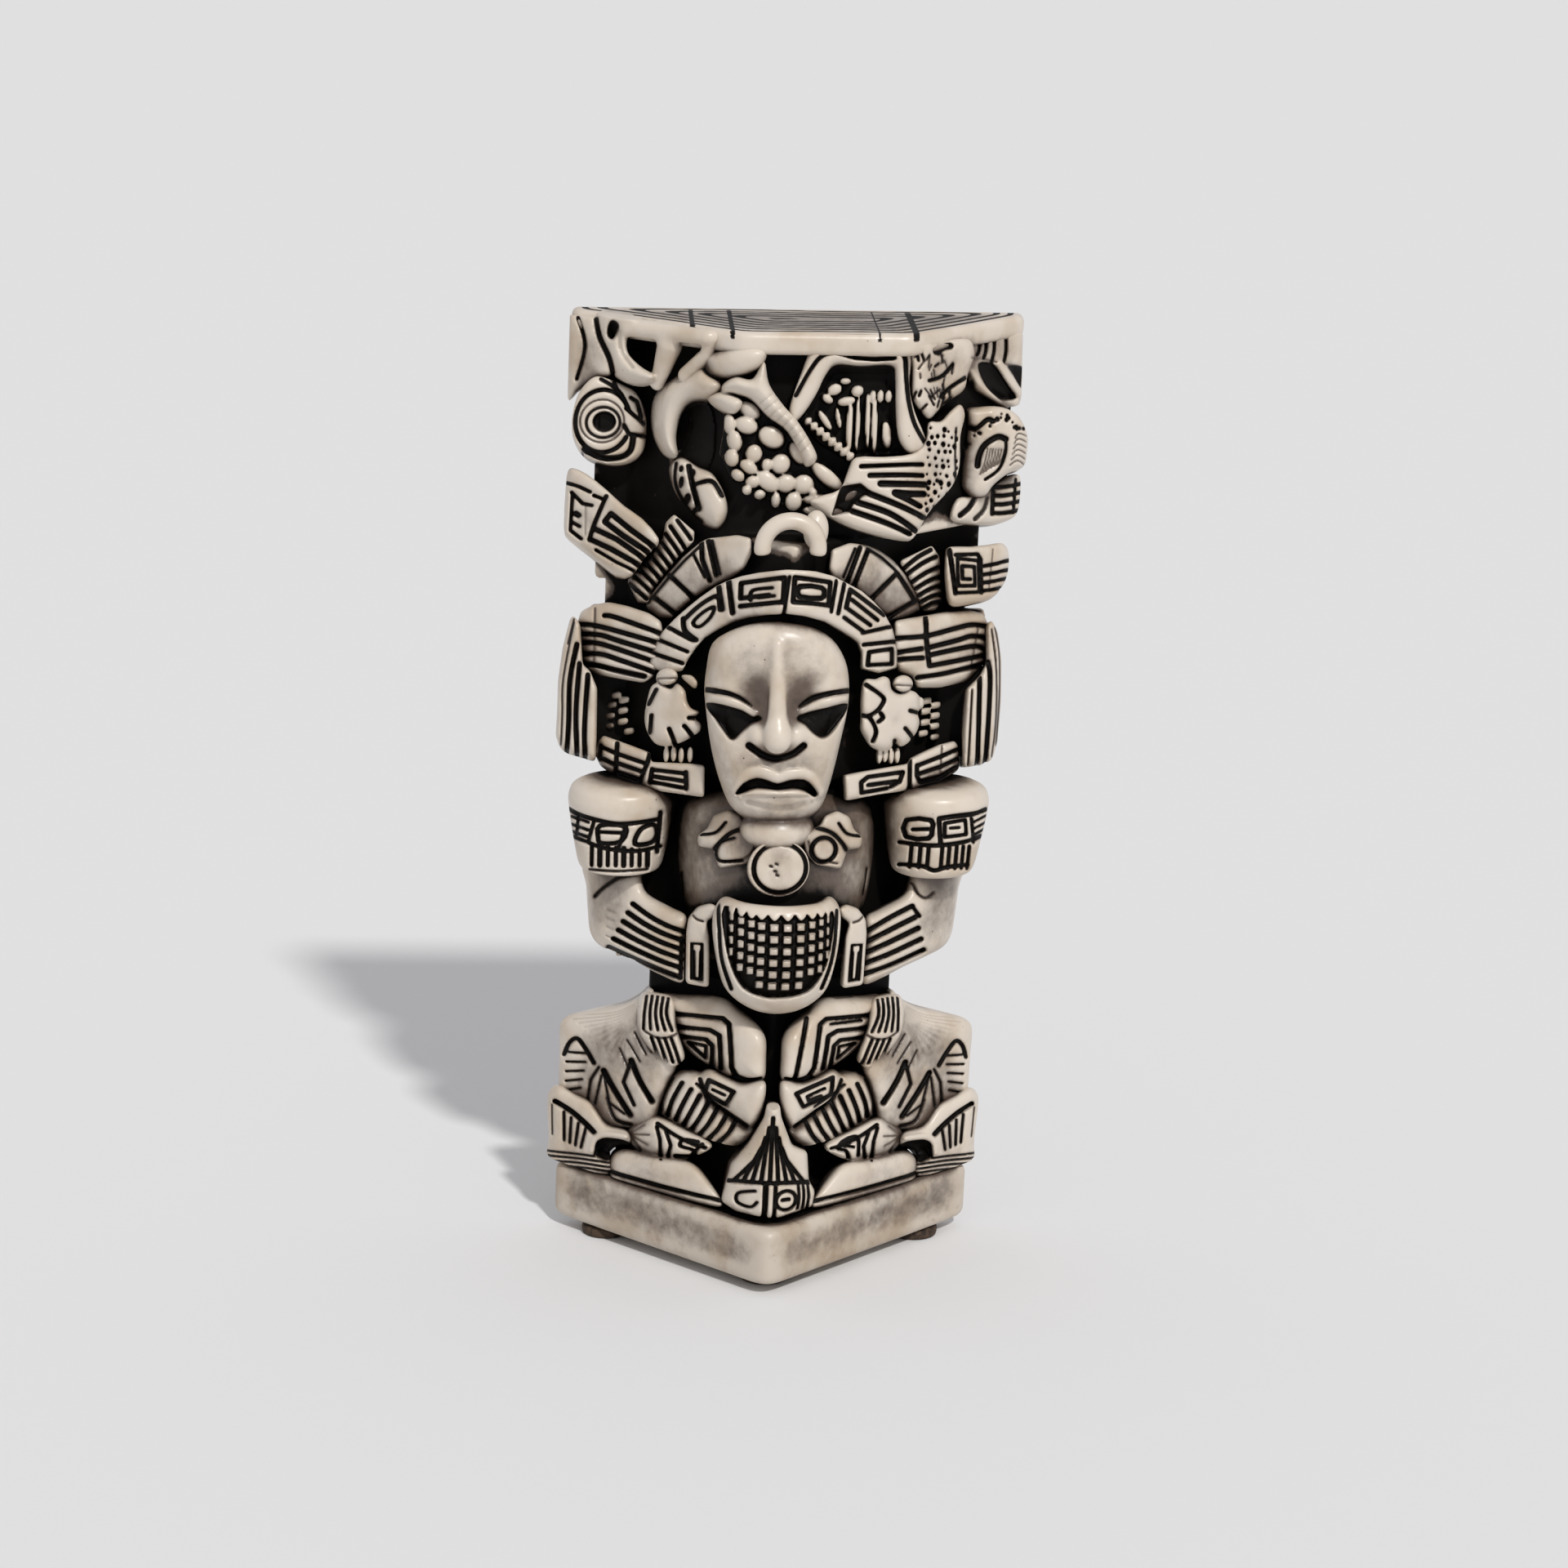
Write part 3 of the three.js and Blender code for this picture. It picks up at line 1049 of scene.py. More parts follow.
@dataclass
class Base:
    """The rounded triangular slab, its pads and the spine that carries everything."""

    under: float = 3.0
    top: float = 19.6
    half: float = 60.5
    pad_radius: float = 7.0
    pads: tuple[tuple[str, float, float], ...] = (("left", -44, 10), ("right", 44, 10), ("front", 0, 46))

    def build(self) -> list[Clay]:
        """Make the slab, the pads and the spine.

        Returns:
            The elements.
        """
        return [self.slab(), *self.feet(), self.spine()]

    def slab(self) -> Clay:
        """Make the slab."""
        half, apex = self.half, RIDGE + 3.2
        plan = Outline([(-half, 0), (half, 0), (half, 5), (0, apex), (-half, 5)], 6.0)

        def form(p: Points) -> Array:
            upright = plan.at(p.x, p.f) + 0.5
            level = np.maximum(p.z - self.top, self.under - p.z)
            return smooth_max(upright, level, 3.2)

        return Clay("base_slab", ("base_slab",), (-half, 0, self.under), (half, RIDGE + 2, self.top), form,
                    finish=Finish.BASE, pitch=PLAIN)

    def feet(self) -> list[Clay]:
        """Make the pads under the slab."""
        made = []
        for word, x, f in self.pads:
            def form(p: Points, x: float = x, f: float = f) -> Array:
                round_wall = np.sqrt((p.x - x) ** 2 + (p.f - f) ** 2) - self.pad_radius
                level = np.maximum(p.z - self.under + 0.25, -p.z)
                return smooth_max(round_wall, level, 0.8)

            reach = self.pad_radius
            made.append(Clay(f"base_pad_{word}", (f"base_pad_{word}",), (x - reach, f - reach, 0),
                             (x + reach, f + reach, self.under - 0.25), form, finish=Finish.CORK,
                             pitch=PLAIN))
        return made

    def spine(self) -> Clay:
        """Make the column behind everything, storey by storey."""
        storeys = ((42, 20, 58, 22), (34, 57, 81.7, 22), (44, 81, 140.5, 24), (56, 140, 182, 16),
                   (50, 181, 190.5, 16), (53, 190, 208.5, 14))
        thin = 6.0

        def form(p: Points) -> Array:
            whole = None
            for half, low, high, sunk in storeys:
                front = np.minimum(vee(p, sunk), p.f - thin)
                part = np.maximum(np.maximum(np.abs(p.x) - half, front), np.maximum(low - p.z, p.z - high))
                whole = part if whole is None else np.minimum(whole, part)
            crown = np.minimum(crown_front(p, 10.0), p.f - thin)
            crown = np.maximum(crown, np.maximum(-54 - p.x, p.x - 60))
            crown = np.maximum(crown, np.maximum(208 - p.z, p.z - 258.5))
            return np.maximum(np.minimum(whole, crown), -p.f)

        # its near-black finish is heavy wash and painted shade where the spine shows between elements
        return Clay("spine_core", ("spine_core",), (-54, 0, 20), (60, 48, 258.5), form,
                    finish=Finish.WASH, pitch=1.1)


# ---- Legs ----


@dataclass
class Legs:
    """The seated legs, the loincloth and the hip wings, from the base to the waist."""

    sole: float = 20.1

    def build(self) -> list[Clay]:
        """Make every element of the legs.

        Returns:
            The elements.
        """
        made = [self.loincloth()]
        for side in Side:
            made += [self.foot(side), self.shin(side), self.thigh(side), self.hand(side),
                     self.wing(side), self.leaf(side)]
        return made

    def foot(self, side: Side) -> Clay:
        """Make a flat foot with a scored sole, and the glyph band on its ankle."""
        sole = Outline(curve([(43.8, 16), (43.2, 20.8), (39.5, 23.2), (32.7, 22.4), (26, 21.6), (20.6, 20.4),
                              (16, 15.5), (12.2, 9.8), (15, 8.6), (30, 11), (42.5, 13.4)], True, 4), 0.6)
        band = Outline(curve([(39.4, 28.4), (35, 32.3), (30.9, 33.8), (22.6, 30.2), (15.6, 26.4), (19.3, 23),
                              (25.2, 20.8), (32.7, 21.3), (37.4, 23.8)], True, 4), 0.6)
        sheet = Sheet((8, 4), (48, 38))
        sheet.groove([(12, 10.6), (28, 13.2), (43.6, 16.3)], 1.2)
        sheet.groove(curve([(30.8, 31.6), (26, 28.6), (21.6, 26.6), (17.6, 25.6)]), 1.1)
        sheet.groove([(31, 30.6), (30, 27), (29.6, 21.4)], 0.9)
        sheet.groove([(28.4, 29.4), (27, 25.6), (27.6, 22.2)], 0.9)
        if side is Side.LEFT:
            sheet.groove(curve([(19.6, 27.2), (23.4, 27.4), (24.4, 25.6), (20.8, 24.6), (20.6, 22.8),
                                (25.6, 22.6)]), 1.0)
            sheet.groove([(18.4, 26.6), (21, 23.2)], 1.0)
        else:
            sheet.groove(curve([(25.6, 23), (25, 28.4), (21, 27.6), (19.4, 25.4), (21.8, 24.6),
                                (22.8, 22.6)]), 1.0)
            sheet.groove([(24, 25.6), (21.6, 26)], 0.9)
        for place in ((36.5, 31.4), (34.4, 31), (33, 28.2), (33.4, 25.2), (35.2, 23.4)):
            sheet.groove([(38.6, 27.8), place], 0.7, 0.6)
        sheet.softened()
        form = joined(tile(mirrored_outline(sole, side), 0.8, 16, 4.0),
                      tile(mirrored_outline(band, side), 2.8, 15, 4.5), reach=0.5)
        return sided_clay("foot", side, (10, 0.5, FOOTING), (45, 54, 43), form, mirrored_sheet(sheet, side))

    def shin(self, side: Side) -> Clay:
        """Make a bent lower leg: a smooth knee with a box glyph, and a ribbed calf."""
        knee = Outline(curve([(20.4, 44.6), (17.4, 48.5), (12.8, 47), (8.2, 45.4), (2.3, 46), (2.1, 40),
                              (3.6, 34.4), (6.4, 32), (12.4, 36.2), (17.4, 38.8)], True, 4), 0.6)
        calf = Outline(curve([(31.6, 36.4), (29.8, 43), (26.2, 46.6), (22.5, 47.5), (18.8, 46.6),
                              (16.6, 39.6), (12, 36.4), (6.4, 33), (3.8, 32.4), (5.8, 28), (10.5, 26),
                              (16.5, 26.4), (22.6, 29.3), (28.9, 32.4)], True, 4), 0.6)
        sheet = Sheet((-2, 21), (36, 53))
        sheet.fan([(26.9, 45.6), (29.4, 40), (30.2, 35.4)], [(9.6, 34), (11.6, 30), (14.6, 26.6)], 8, 1.25)
        sheet.groove(curve([(19.6, 45.4), (17.6, 40.4), (12.6, 36.6), (6.6, 32.8)]), 1.1)
        sheet.groove(curve([(20.6, 44), (18, 42), (12, 38.2)]), 0.8, 0.9)
        if side is Side.LEFT:
            sheet.loop([(17.3, 45.4), (10.6, 42.5), (12.5, 38.6), (18.2, 41.6)], 1.25)
            sheet.groove([(16.2, 42.8), (13, 41.5)], 0.9, 1.0)
        else:
            sheet.loop([(17, 46.4), (6.4, 42.4), (8.6, 38.4), (16.6, 41.4)], 1.2)
            sheet.groove([(14.6, 43.4), (9.6, 41.4), (10, 40.2), (13.6, 41.4)], 0.9)
        sheet.softened()
        form = joined(tile(mirrored_outline(knee, side), 2.6, 16, 6.0),
                      tile(mirrored_outline(calf, side), 4.6, 15, 6.5), reach=1.0)
        return sided_clay("shin", side, (1.9, 8, 38), (33.5, 58, 61), form, mirrored_sheet(sheet, side))

    def thigh(self, side: Side) -> Clay:
        """Make a thigh with nested angular bands."""
        shape = Outline(curve([(31, 69.2), (24.2, 69.4), (14.4, 69.2), (9.5, 66), (4.9, 62.2), (2.4, 58.3),
                               (2.0, 52.6), (2.3, 46.4), (6, 45), (11.2, 45.5), (16.6, 48.7), (23.5, 53.3),
                               (26.6, 56.4), (30, 64.9)], True, 4), 0.6)
        sheet = sheet_over(shape)
        sheet.groove([(26.9, 64), (14.2, 63.5), (12.5, 62), (11.3, 49.5), (9.8, 46.8), (5.3, 45.3)], 1.3)
        sheet.groove([(26.6, 60.3), (17.6, 60), (15, 58.6), (14, 48.9)], 1.25)
        sheet.groove([(25, 57.5), (18.5, 57.2), (16.8, 55.6), (16.3, 49.2)], 1.2)
        sheet.loop([(23.2, 56), (18.4, 55.3), (18.2, 51.6)], 0.9)
        if side is Side.RIGHT:
            sheet.groove([(8.6, 64), (6, 46.6)], 1.2)
            sheet.groove([(15.6, 62), (24.6, 62.6)], 0.9)
        sheet.groove(curve([(3.4, 46.8), (8, 45.8), (11, 46.4)]), 0.9)
        sheet.softened()
        form = tile(mirrored_outline(shape, side), 3.0, 19, 8.0)
        return sided_clay("thigh", side, (1.9, 16, 57), (31.5, 58, 83), form, mirrored_sheet(sheet, side))

    def hand(self, side: Side) -> Clay:
        """Make a hand that hangs over the thigh, its fingers drooping like tassels."""
        shape = Outline(curve([(36, 69.4), (31, 69.6), (27.6, 68.1), (26.4, 60.3), (24.1, 52.6),
                               (24.6, 50.2), (27.4, 48.3), (30.1, 49.7), (33.8, 53.1), (37.3, 58.3),
                               (37.6, 64.9)], True, 4),
                        0.5)
        sheet = sheet_over(shape)
        for i in range(5):
            top, middle = 29 + 1.5 * i, 27.8 + 1.95 * i
            sheet.groove(curve([(top, 69.4), (top + 0.5, 64), (middle, 59.2)]), 0.8, 1.1)
        for i in range(4):
            sheet.groove(curve([(28 + 1.8 * i, 57), (26.6 + 1.8 * i, 53.4), (25.4 + 1.8 * i, 50)]), 0.85,
                         1.1)
        sheet.groove(curve([(26.4, 58.4), (29, 57.2), (32.4, 57.2), (35.4, 58.8)]), 0.7, 0.7)
        sheet.softened(0.5)
        form = tile(mirrored_outline(shape, side), 0.6, 14, 5.0)
        return sided_clay("hand", side, (22, 12, 55), (38.5, 44, 79), form, mirrored_sheet(sheet, side))

    def wing(self, side: Side) -> Clay:
        """Make the hip wing: a combed slope over a fan of leaves."""
        shape = Outline(curve([(33, 70.4), (36.6, 68.4), (41.2, 65.9), (50.8, 63.4), (58, 61.2), (60, 58),
                               (59.8, 50.2), (59.6, 40), (58.6, 33), (50, 28), (38.2, 28.4), (31.6, 31),
                               (30, 37.1), (28, 43.3), (25.8, 50.2), (31, 56)], True, 4), 0.6)
        sheet = sheet_over(shape)
        for i in range(11):
            share = i / 10
            end = (57 - 16 * share, 61.6 - 9 * share - 4 * share * share)
            sheet.groove(curve([(38 - 1.5 * share, 66.6 - 5 * share), (44 - 4 * share, 63.4 - 6.5 * share),
                                end]),
                         0.45, 0.36)
        sheet.groove(curve([(57.5, 50), (56, 53.6), (53.9, 55), (51.4, 52), (49, 48)]), 1.2)
        for i in range(5):
            sheet.groove([(51 + 0.4 * i, 50.8 - 2.6 * i), (56.8, 50.8 - 2.9 * i)], 0.75, 1.0)
        sheet.groove([(50.6, 36.4), (49.8, 43), (47.6, 47)], 0.8, 1.0)
        sheet.groove([(48.4, 36), (46.8, 44.6)], 0.8, 0.9)
        sheet.groove([(57, 38.8), (52, 37), (50.6, 36.4)], 0.8, 1.0)
        sheet.groove(curve([(46.2, 46), (43, 40.4), (38.4, 33.4)]), 1.5, 1.6)
        sheet.groove([(46.2, 45), (44.4, 36.6), (40, 33.6)], 0.8, 0.9)
        sheet.groove(curve([(38.6, 49.6), (36.2, 44), (32.6, 38)]), 1.5, 1.6)
        sheet.groove([(38.8, 49), (40.6, 43), (37.4, 36.4)], 1.0, 1.1)
        sheet.grooves([[(42, 53), (39.6, 47.8)], [(40, 55.6), (36.2, 49.4)], [(38, 58), (34.6, 51.6)],
                       [(36, 58.6), (33, 52.6)]], 0.7, 0.8)
        sheet.groove(curve([(45, 38), (42.6, 32), (38, 30.6)]), 0.9, 0.9)
        sheet.softened(0.4)
        return applied(f"hip_wing_{side.word}", mirrored_outline(shape, side), 4.4, 60,
                       mirrored_sheet(sheet, side), 5.0)

    def leaf(self, side: Side) -> Clay:
        """Make the bottom corner's curled leaf over its striated bed."""
        shape = Outline(curve([(62.2, 36), (61.4, 39.2), (59, 40.8), (54.7, 39), (49.4, 36.4), (44.8, 30.4),
                               (38.9, 28.6), (38.4, 24), (43.6, 20.8), (43.9, 15.2), (60.6, 15.6),
                               (61.4, 25.5)], True, 4), 0.6)
        sheet = sheet_over(shape)
        sheet.groove(curve([(59.6, 36), (55, 33.4), (50.8, 30), (48.4, 27.6)]), 1.5, 1.6)
        sheet.area(curve([(47.6, 26.2), (44.6, 26.4), (40, 25.9), (38, 24), (43.6, 19.8), (48.2, 21)], True,
                         3), 2.2)
        sheet.ridge(curve([(49.2, 21.6), (48.3, 25.6), (45.1, 27.4), (39.4, 27.4)]), 2.0, 0.6)
        for i in range(4):
            sheet.groove([(50.8 + 2.1 * i, 28.6 + 1.5 * i), (52 + 1.6 * i, 22.8 + 0.6 * i)], 0.8, 1.1)
        sheet.groove([(60.6, 35), (60.2, 26)], 0.6, 0.8)
        for i in range(4):
            sheet.groove(curve([(43, 16.2 + 1.3 * i), (52, 16.9 + 1.3 * i), (62, 16.7 + 1.4 * i)]), 0.75,
                         0.9)
        sheet.softened(0.4)
        return applied(f"leaf_block_{side.word}", mirrored_outline(shape, side), 0.4, 60,
                       mirrored_sheet(sheet, side), 4.0)

    def loincloth(self) -> Clay:
        """Make the ribbed loincloth and the glyph block that weights its hem."""
        shape = Outline([(-13, 10.6), (-11.6, 16.8), (-10.6, 21.6), (-5.9, 28.6), (-2.2, 36), (-1.6, 40),
                         (1.8, 40), (2.4, 36), (5.8, 27.8), (10.4, 25.4), (11.2, 17), (13.2, 13.6),
                         (12.6, 9), (3, 6.8), (-1, 6.8), (-9, 8)], 1.4)
        sheet = sheet_over(shape)
        sheet.groove([(-12, 16.9), (0, 17.1), (12, 16.6)], 1.2)
        for i in range(-4, 5):
            top = 36 - 2.9 * abs(i)
            sheet.groove([(2.35 * i - 0.2, 17.2), (0.9 * i, top)], 1.05)
        sheet.groove([(-1.2, 16), (-1.2, 6)], 1.4).groove([(1.5, 16), (1.4, 7)], 1.0)
        sheet.groove(curve([(-4, 14.6), (-8.4, 13.6), (-8.6, 11), (-5, 9.8), (-3.4, 11.4)]), 0.9, 1.1)
        sheet.loop(arc((4.6, 11.8), (2.9, 2.8), 0, 340, 20), 1.0).groove([(3.6, 12), (5.4, 12.1)], 1.1)
        for u in (8.4, 9.8, 11.2):
            sheet.groove(curve([(u - 0.4, 16), (u, 12.4), (u - 0.3, 9)]), 0.8, 1.1)
        sheet.softened()
        return Clay("loincloth", ("loincloth",), (-13, 30, self.sole), (13, 61.8, 54),
                    tile(shape, 0.6, 22, 3.0), sheet)


# ---- Trunk ----


def blunt(level: float) -> Front:
    """The V front with its ridge cut off flat.

    Args:
        level: How far from the back the cut is.

    Returns:
        The front.
    """
    return lambda p, sunk: smooth_max(vee(p, sunk), p.f - level, 1.5)


def flat(p: Points, sunk: float) -> Array:
    """The distance in front of a plane parallel to the back.

    Args:
        p: The points.
        sunk: How deep it lies under the V's ridge.

    Returns:
        The distances.
    """
    return p.f - (RIDGE - sunk)


@dataclass
class Trunk:
    """The torso, the forearms with their cuffs, the collar, the medallion and the grid apron."""

    cuff_middle: float = 43.6
    cuff_depth: float = 17.0
    medallion: Pair = (-1.0, 106.8)

    def build(self) -> list[Clay]:
        """Make every element of the trunk.

        Returns:
            The elements.
        """
        made = [self.torso(), self.pendant(), self.basket()]
        for side in Side:
            made += [self.arm(side), self.cuff(side), self.tab(side), self.petal(side)]
        return made

    def torso(self) -> Clay:
        """Make the smooth chest and belly."""
        shape = Outline(curve([(-20, 129), (-27, 126), (-29, 119), (-27.4, 108), (-26, 99), (-24.4, 89),
                               (-22, 80), (22, 80), (24, 89), (25.8, 98), (27, 107), (27.4, 118), (25, 126),
                               (18, 129)], True, 4), 1.5)
        sheet = sheet_over(shape)
        sheet.groove(curve([(25, 106.4), (24.6, 102), (24.2, 98.6)]), 0.8, 0.9)
        sheet.groove(curve([(-26.4, 104.5), (-25.8, 99), (-25.4, 97)]), 1.2, 1.2)
        sheet.groove([(-22.9, 94.3), (-21.4, 95.2)], 1.0, 0.9)
        for at in ((19.9, 118.6), (20.8, 116.4)):
            sheet.groove([at, (at[0] + 2, at[1] - 4)], 0.5, 0.5)
        sheet.softened()
        torso = applied("torso", shape, 10.5, 28, sheet, 11.0, blunt(49))
        torso.pitch = PLAIN
        return torso

    def pendant(self) -> Clay:
        """Make the medallion: a pitted disc in a ring."""
        u, v = self.medallion
        shape = Outline(arc((u, v), (8.4, 8.2), 0, 350, 36), 0.3)
        sheet = sheet_over(shape)
        sheet.loop(arc((u + 0.3, v), (7.1, 6.9), 0, 350, 36), 1.1, 1.5)
        for at in ((u - 2.4, v + 0.6), (u - 0.9, v + 1.2), (u - 1.2, v - 0.8), (u - 0.6, v - 1.9)):
            sheet.groove([at, (at[0] + 0.5, at[1] - 0.2)], 0.8, 0.8)
        sheet.softened(0.2)
        return applied("medallion", shape, 8.0, 12, sheet, 2.2, flat)

    def basket(self) -> Clay:
        """Make the bulging apron with its grid of cells under a scalloped lip."""
        rim = Outline(curve([(-18.6, 97), (-18.2, 89), (-16.4, 79), (-13.6, 71.4), (-7, 66.4), (0, 65),
                             (7, 66.6), (12.8, 71.6), (15, 79), (16.3, 88), (16.5, 95.6), (13.8, 98.8),
                             (9.8, 97), (0.6, 96.2), (-9.6, 97), (-16, 99)], True, 4), 0.4)
        sheet = sheet_over(rim)
        sheet.groove(curve([(-16.9, 97), (-16.6, 90), (-15.6, 81), (-12.6, 72.6)]), 0.9, 1.4)
        sheet.groove(curve([(15.2, 95), (14.9, 88), (13.8, 80), (11.6, 73)]), 0.9, 1.4)
        well = curve([(-15.3, 95.8), (-15, 87), (-13, 79), (-9.6, 73), (-4, 70.6), (0, 70.4), (4.6, 71),
                      (9, 73.2), (12.4, 79.6), (13.8, 87), (14, 94.6), (8, 94), (0, 93.6), (-8, 94)], True,
                      3)
        sheet.area(well, 2.3, 0.35)
        columns = ((-13.3, 0.65), (-10.8, 0.95), (-8.1, 1.05), (-5.4, 1.2), (-2.0, 1.32), (1.6, 1.32),
                   (5.2, 1.22), (8.3, 1.05), (10.8, 0.85), (12.7, 0.55))
        for u, half in columns:
            lift = 0.016 * (u - 0.4) ** 2
            sheet.area([(u - half - 0.3, 96), (u - half - 0.2, 93.2 + lift * 0.5),
                        (u - 0.4, 92.0 + lift * 0.6), (u + 0.4, 92.0 + lift * 0.6),
                        (u + half + 0.2, 93.2 + lift * 0.5), (u + half + 0.3, 96)], 0.0, 0.25)
            for row in range(6):
                v = 90.0 - 3.28 * row + lift
                low = 71.6 + 0.055 * u * u
                if v > low:
                    sheet.area([(u - half, v - 1.1), (u + half, v - 1.1), (u + half, v + 1.1),
                                (u - half, v + 1.1)], 0.25, 0.3)
        sheet.softened(0.15)

        def form(p: Points) -> Array:
            bulge = ball(p, (0, 47.5, 98), (20, 18.4, 20.5))
            return np.maximum(smooth_max(bulge, rim.at(p.x, p.v), 2.2), 38 - p.f)

        return Clay("basket_apron", ("basket_apron",), (-19.2, 38, 75), (17.2, 66.2, 114), form, sheet)

    def arm(self, side: Side) -> Clay:
        """Make a forearm with ribs that fan out from the wrist's band."""
        left = side is Side.LEFT
        shape = Outline(curve([(53.2, 108), (52.7, 100), (52, 92), (51.2, 86.6), (48.8, 83), (43.6, 80.4),
                               (37, 77.6), (31.6, 75), (25.4, 72.9), (24.9, 78), (24.9, 86), (24.8, 92.2),
                               (29, 94.6), (35.6, 98.4), (37.4, 103), (38, 108)], True, 4), 0.5)
        sheet = sheet_over(shape)
        if left:
            sheet.fan([(39.7, 95.4), (35, 92), (30, 89.4), (25.3, 87.8)],
                      [(45.9, 82.5), (40.3, 80.1), (33, 77.1), (26, 74.6)], 6, 1.4)
            sheet.groove([(25.9, 86), (25.9, 74.6)], 1.0)
            sheet.groove(curve([(50.2, 97.2), (47.7, 100), (43.3, 103.2), (37.9, 104.6)]), 1.0, 1.0)
            for v in (94, 91.6, 89, 86.4):
                sheet.groove([(44.6, v - 1.4), (46.8, v - 0.4)], 0.5, 0.45)
        else:
            sheet.fan([(38.2, 95.4), (31.1, 91.9), (24.6, 88)], [(42.4, 82.6), (33.4, 78.8), (25, 76)], 5,
                      1.5)
            sheet.groove([(38.2, 95.4), (40.5, 92.5)], 1.0)
            nose = curve([(35.2, 106.4), (38.6, 107.4), (42, 106.2), (43.9, 102.8), (44, 100), (42.2, 98.4),
                          (40.3, 99.6), (38.6, 102.4), (36, 103.6)], True, 4)
            sheet.area(nose, -1.6, 0.8)
            sheet.groove(curve([(36, 103), (38.2, 101.8), (39.8, 99), (42.2, 97.8), (44.4, 99.4)]), 0.9, 0.7)
        sheet.softened(0.25)
        return applied(f"arm_{side.word}", mirrored_outline(shape, side), 3, 30, mirrored_sheet(sheet, side),
                       6.0)

    def cuff(self, side: Side) -> Clay:
        """Make a turned cuff: a smooth dome, a glyph band and a fringe of teeth."""
        left = side is Side.LEFT
        sheet = Sheet((27, 101), (62, 139))
        if left:
            sheet.groove(curve([(58.6, 122.9), (55.6, 121.2), (50.8, 119.7), (45, 118.6), (39, 119),
                                (33.4, 120)]), 1.1)
            sheet.groove(curve([(57, 114.8), (52.3, 113), (49, 111.8), (44.2, 111), (38.8, 110.9),
                                (32.6, 112.2)]), 1.0)
            sheet.loop(curve([(50, 114.6), (49.6, 118), (42.6, 117.8), (43.6, 113.6), (49, 113)], True, 3),
                       1.1)
            sheet.groove([(49.6, 116.2), (43.4, 116)], 0.9)
            sheet.loop(curve([(39.8, 112.9), (38.4, 117), (34.8, 118.4), (33.8, 115.6), (35.4, 113.2)],
                             True, 4), 1.2)
            sheet.groove([(42.3, 118.6), (44.4, 111.2)], 0.9)
            sheet.groove([(51.2, 119.6), (52.6, 113.4)], 0.9).groove([(55.4, 121), (56, 114.6)], 0.8)
            for v in (119.6, 117.4, 115.4):
                sheet.groove([(52.8, v - 0.7), (57.4, v + 0.9)], 0.8)
            sheet.groove([(33, 122), (33.6, 110.4)], 1.1)
            teeth = [51.6 - 2.2 * i for i in range(8)]
            for i, u in enumerate(teeth):
                sheet.groove([(u, 112.4 - 0.2 * i), (u - 0.1, 106.6)], 1.0 + 0.3 * (i % 3 == 1), 1.2)
            sheet.groove(curve([(52, 105.4), (44, 105), (36, 105.6)]), 0.8, 0.8)
        else:
            sheet.groove(curve([(57.4, 123.6), (54, 122.4), (48, 121.6), (43.8, 120.9)]), 1.3)
            sheet.groove([(43.7, 120.9), (44.6, 113.9)], 1.2)
            sheet.loop(curve([(35.2, 115.6), (35, 120.4), (41.6, 120.4), (42, 117.6), (41.2, 115.2)],
                             True, 2), 1.2)
            sheet.groove([(36.8, 117.7), (41, 117.9)], 1.0)
            sheet.loop([(45.6, 115.6), (45.4, 119.6), (51.2, 120.6), (51.8, 116.4)], 0.9)
            sheet.groove([(47, 118.2), (49.6, 118.4)], 0.7).groove([(53, 121), (54.2, 114)], 0.9)
            for v in (120.6, 118.6, 116.8, 115):
                sheet.groove([(54, v - 0.6), (57.6, v + 1.2)], 0.7)
            sheet.groove(curve([(33.6, 114), (38, 113.5), (44, 113.2), (52, 114.4), (56.4, 116)]), 1.1)
            for u in (36.8, 39.2, 41.4, 45.2, 47.2, 49.3, 51.2, 53):
                sheet.groove([(u, 113), (u - 0.1, 107.6 - 0.02 * u)], 0.95, 1.3)
            sheet.groove(curve([(34, 107.6), (40, 107.2), (43.4, 106), (47, 107), (53, 107.6)]), 1.1)
        sheet.softened(0.2)
        x, f = self.cuff_middle * side.value, self.cuff_depth

        def form(p: Points) -> Array:
            return lathe(p, (x, f), [(0, 110.5), (11, 110.5), (12, 113), (13.2, 119), (14.4, 125.5),
                                     (15.1, 131), (14.2, 134.2), (11, 135.8), (0, 136.2)], 1.6)

        return sided_clay("cuff", side, (28, 1, 109.5), (59, 32.5, 137.5), form, mirrored_sheet(sheet, side))

    def tab(self, side: Side) -> Clay:
        """Make a strap that ends in a slotted tab."""
        shape = Outline([(18.3, 72.3), (24.5, 73.1), (24.9, 88), (24.4, 92), (22, 95.2), (18.6, 96.4),
                         (16.2, 95.2), (17.2, 92.8), (19.6, 91.2), (18.6, 87)], 1.2)
        sheet = sheet_over(shape)
        sheet.area([(19.9, 73.9), (23.4, 74.4), (23.7, 85), (20.3, 85)], 1.5, 0.3)
        sheet.area([(21.1, 75), (22, 75), (22.5, 84.3), (21.2, 84.3)], 0.1, 0.3)
        sheet.area([(20.9, 82.8), (22.9, 82.8), (22.9, 84.5), (20.9, 84.5)], 0.1, 0.25)
        sheet.groove(curve([(24.4, 94.4), (22.6, 92), (20.6, 91.2)]), 0.7, 0.7)
        sheet.softened(0.2)
        return applied(f"keyhole_tab_{side.word}", mirrored_outline(shape, side), 1, 11,
                       mirrored_sheet(sheet, side), 2.0)

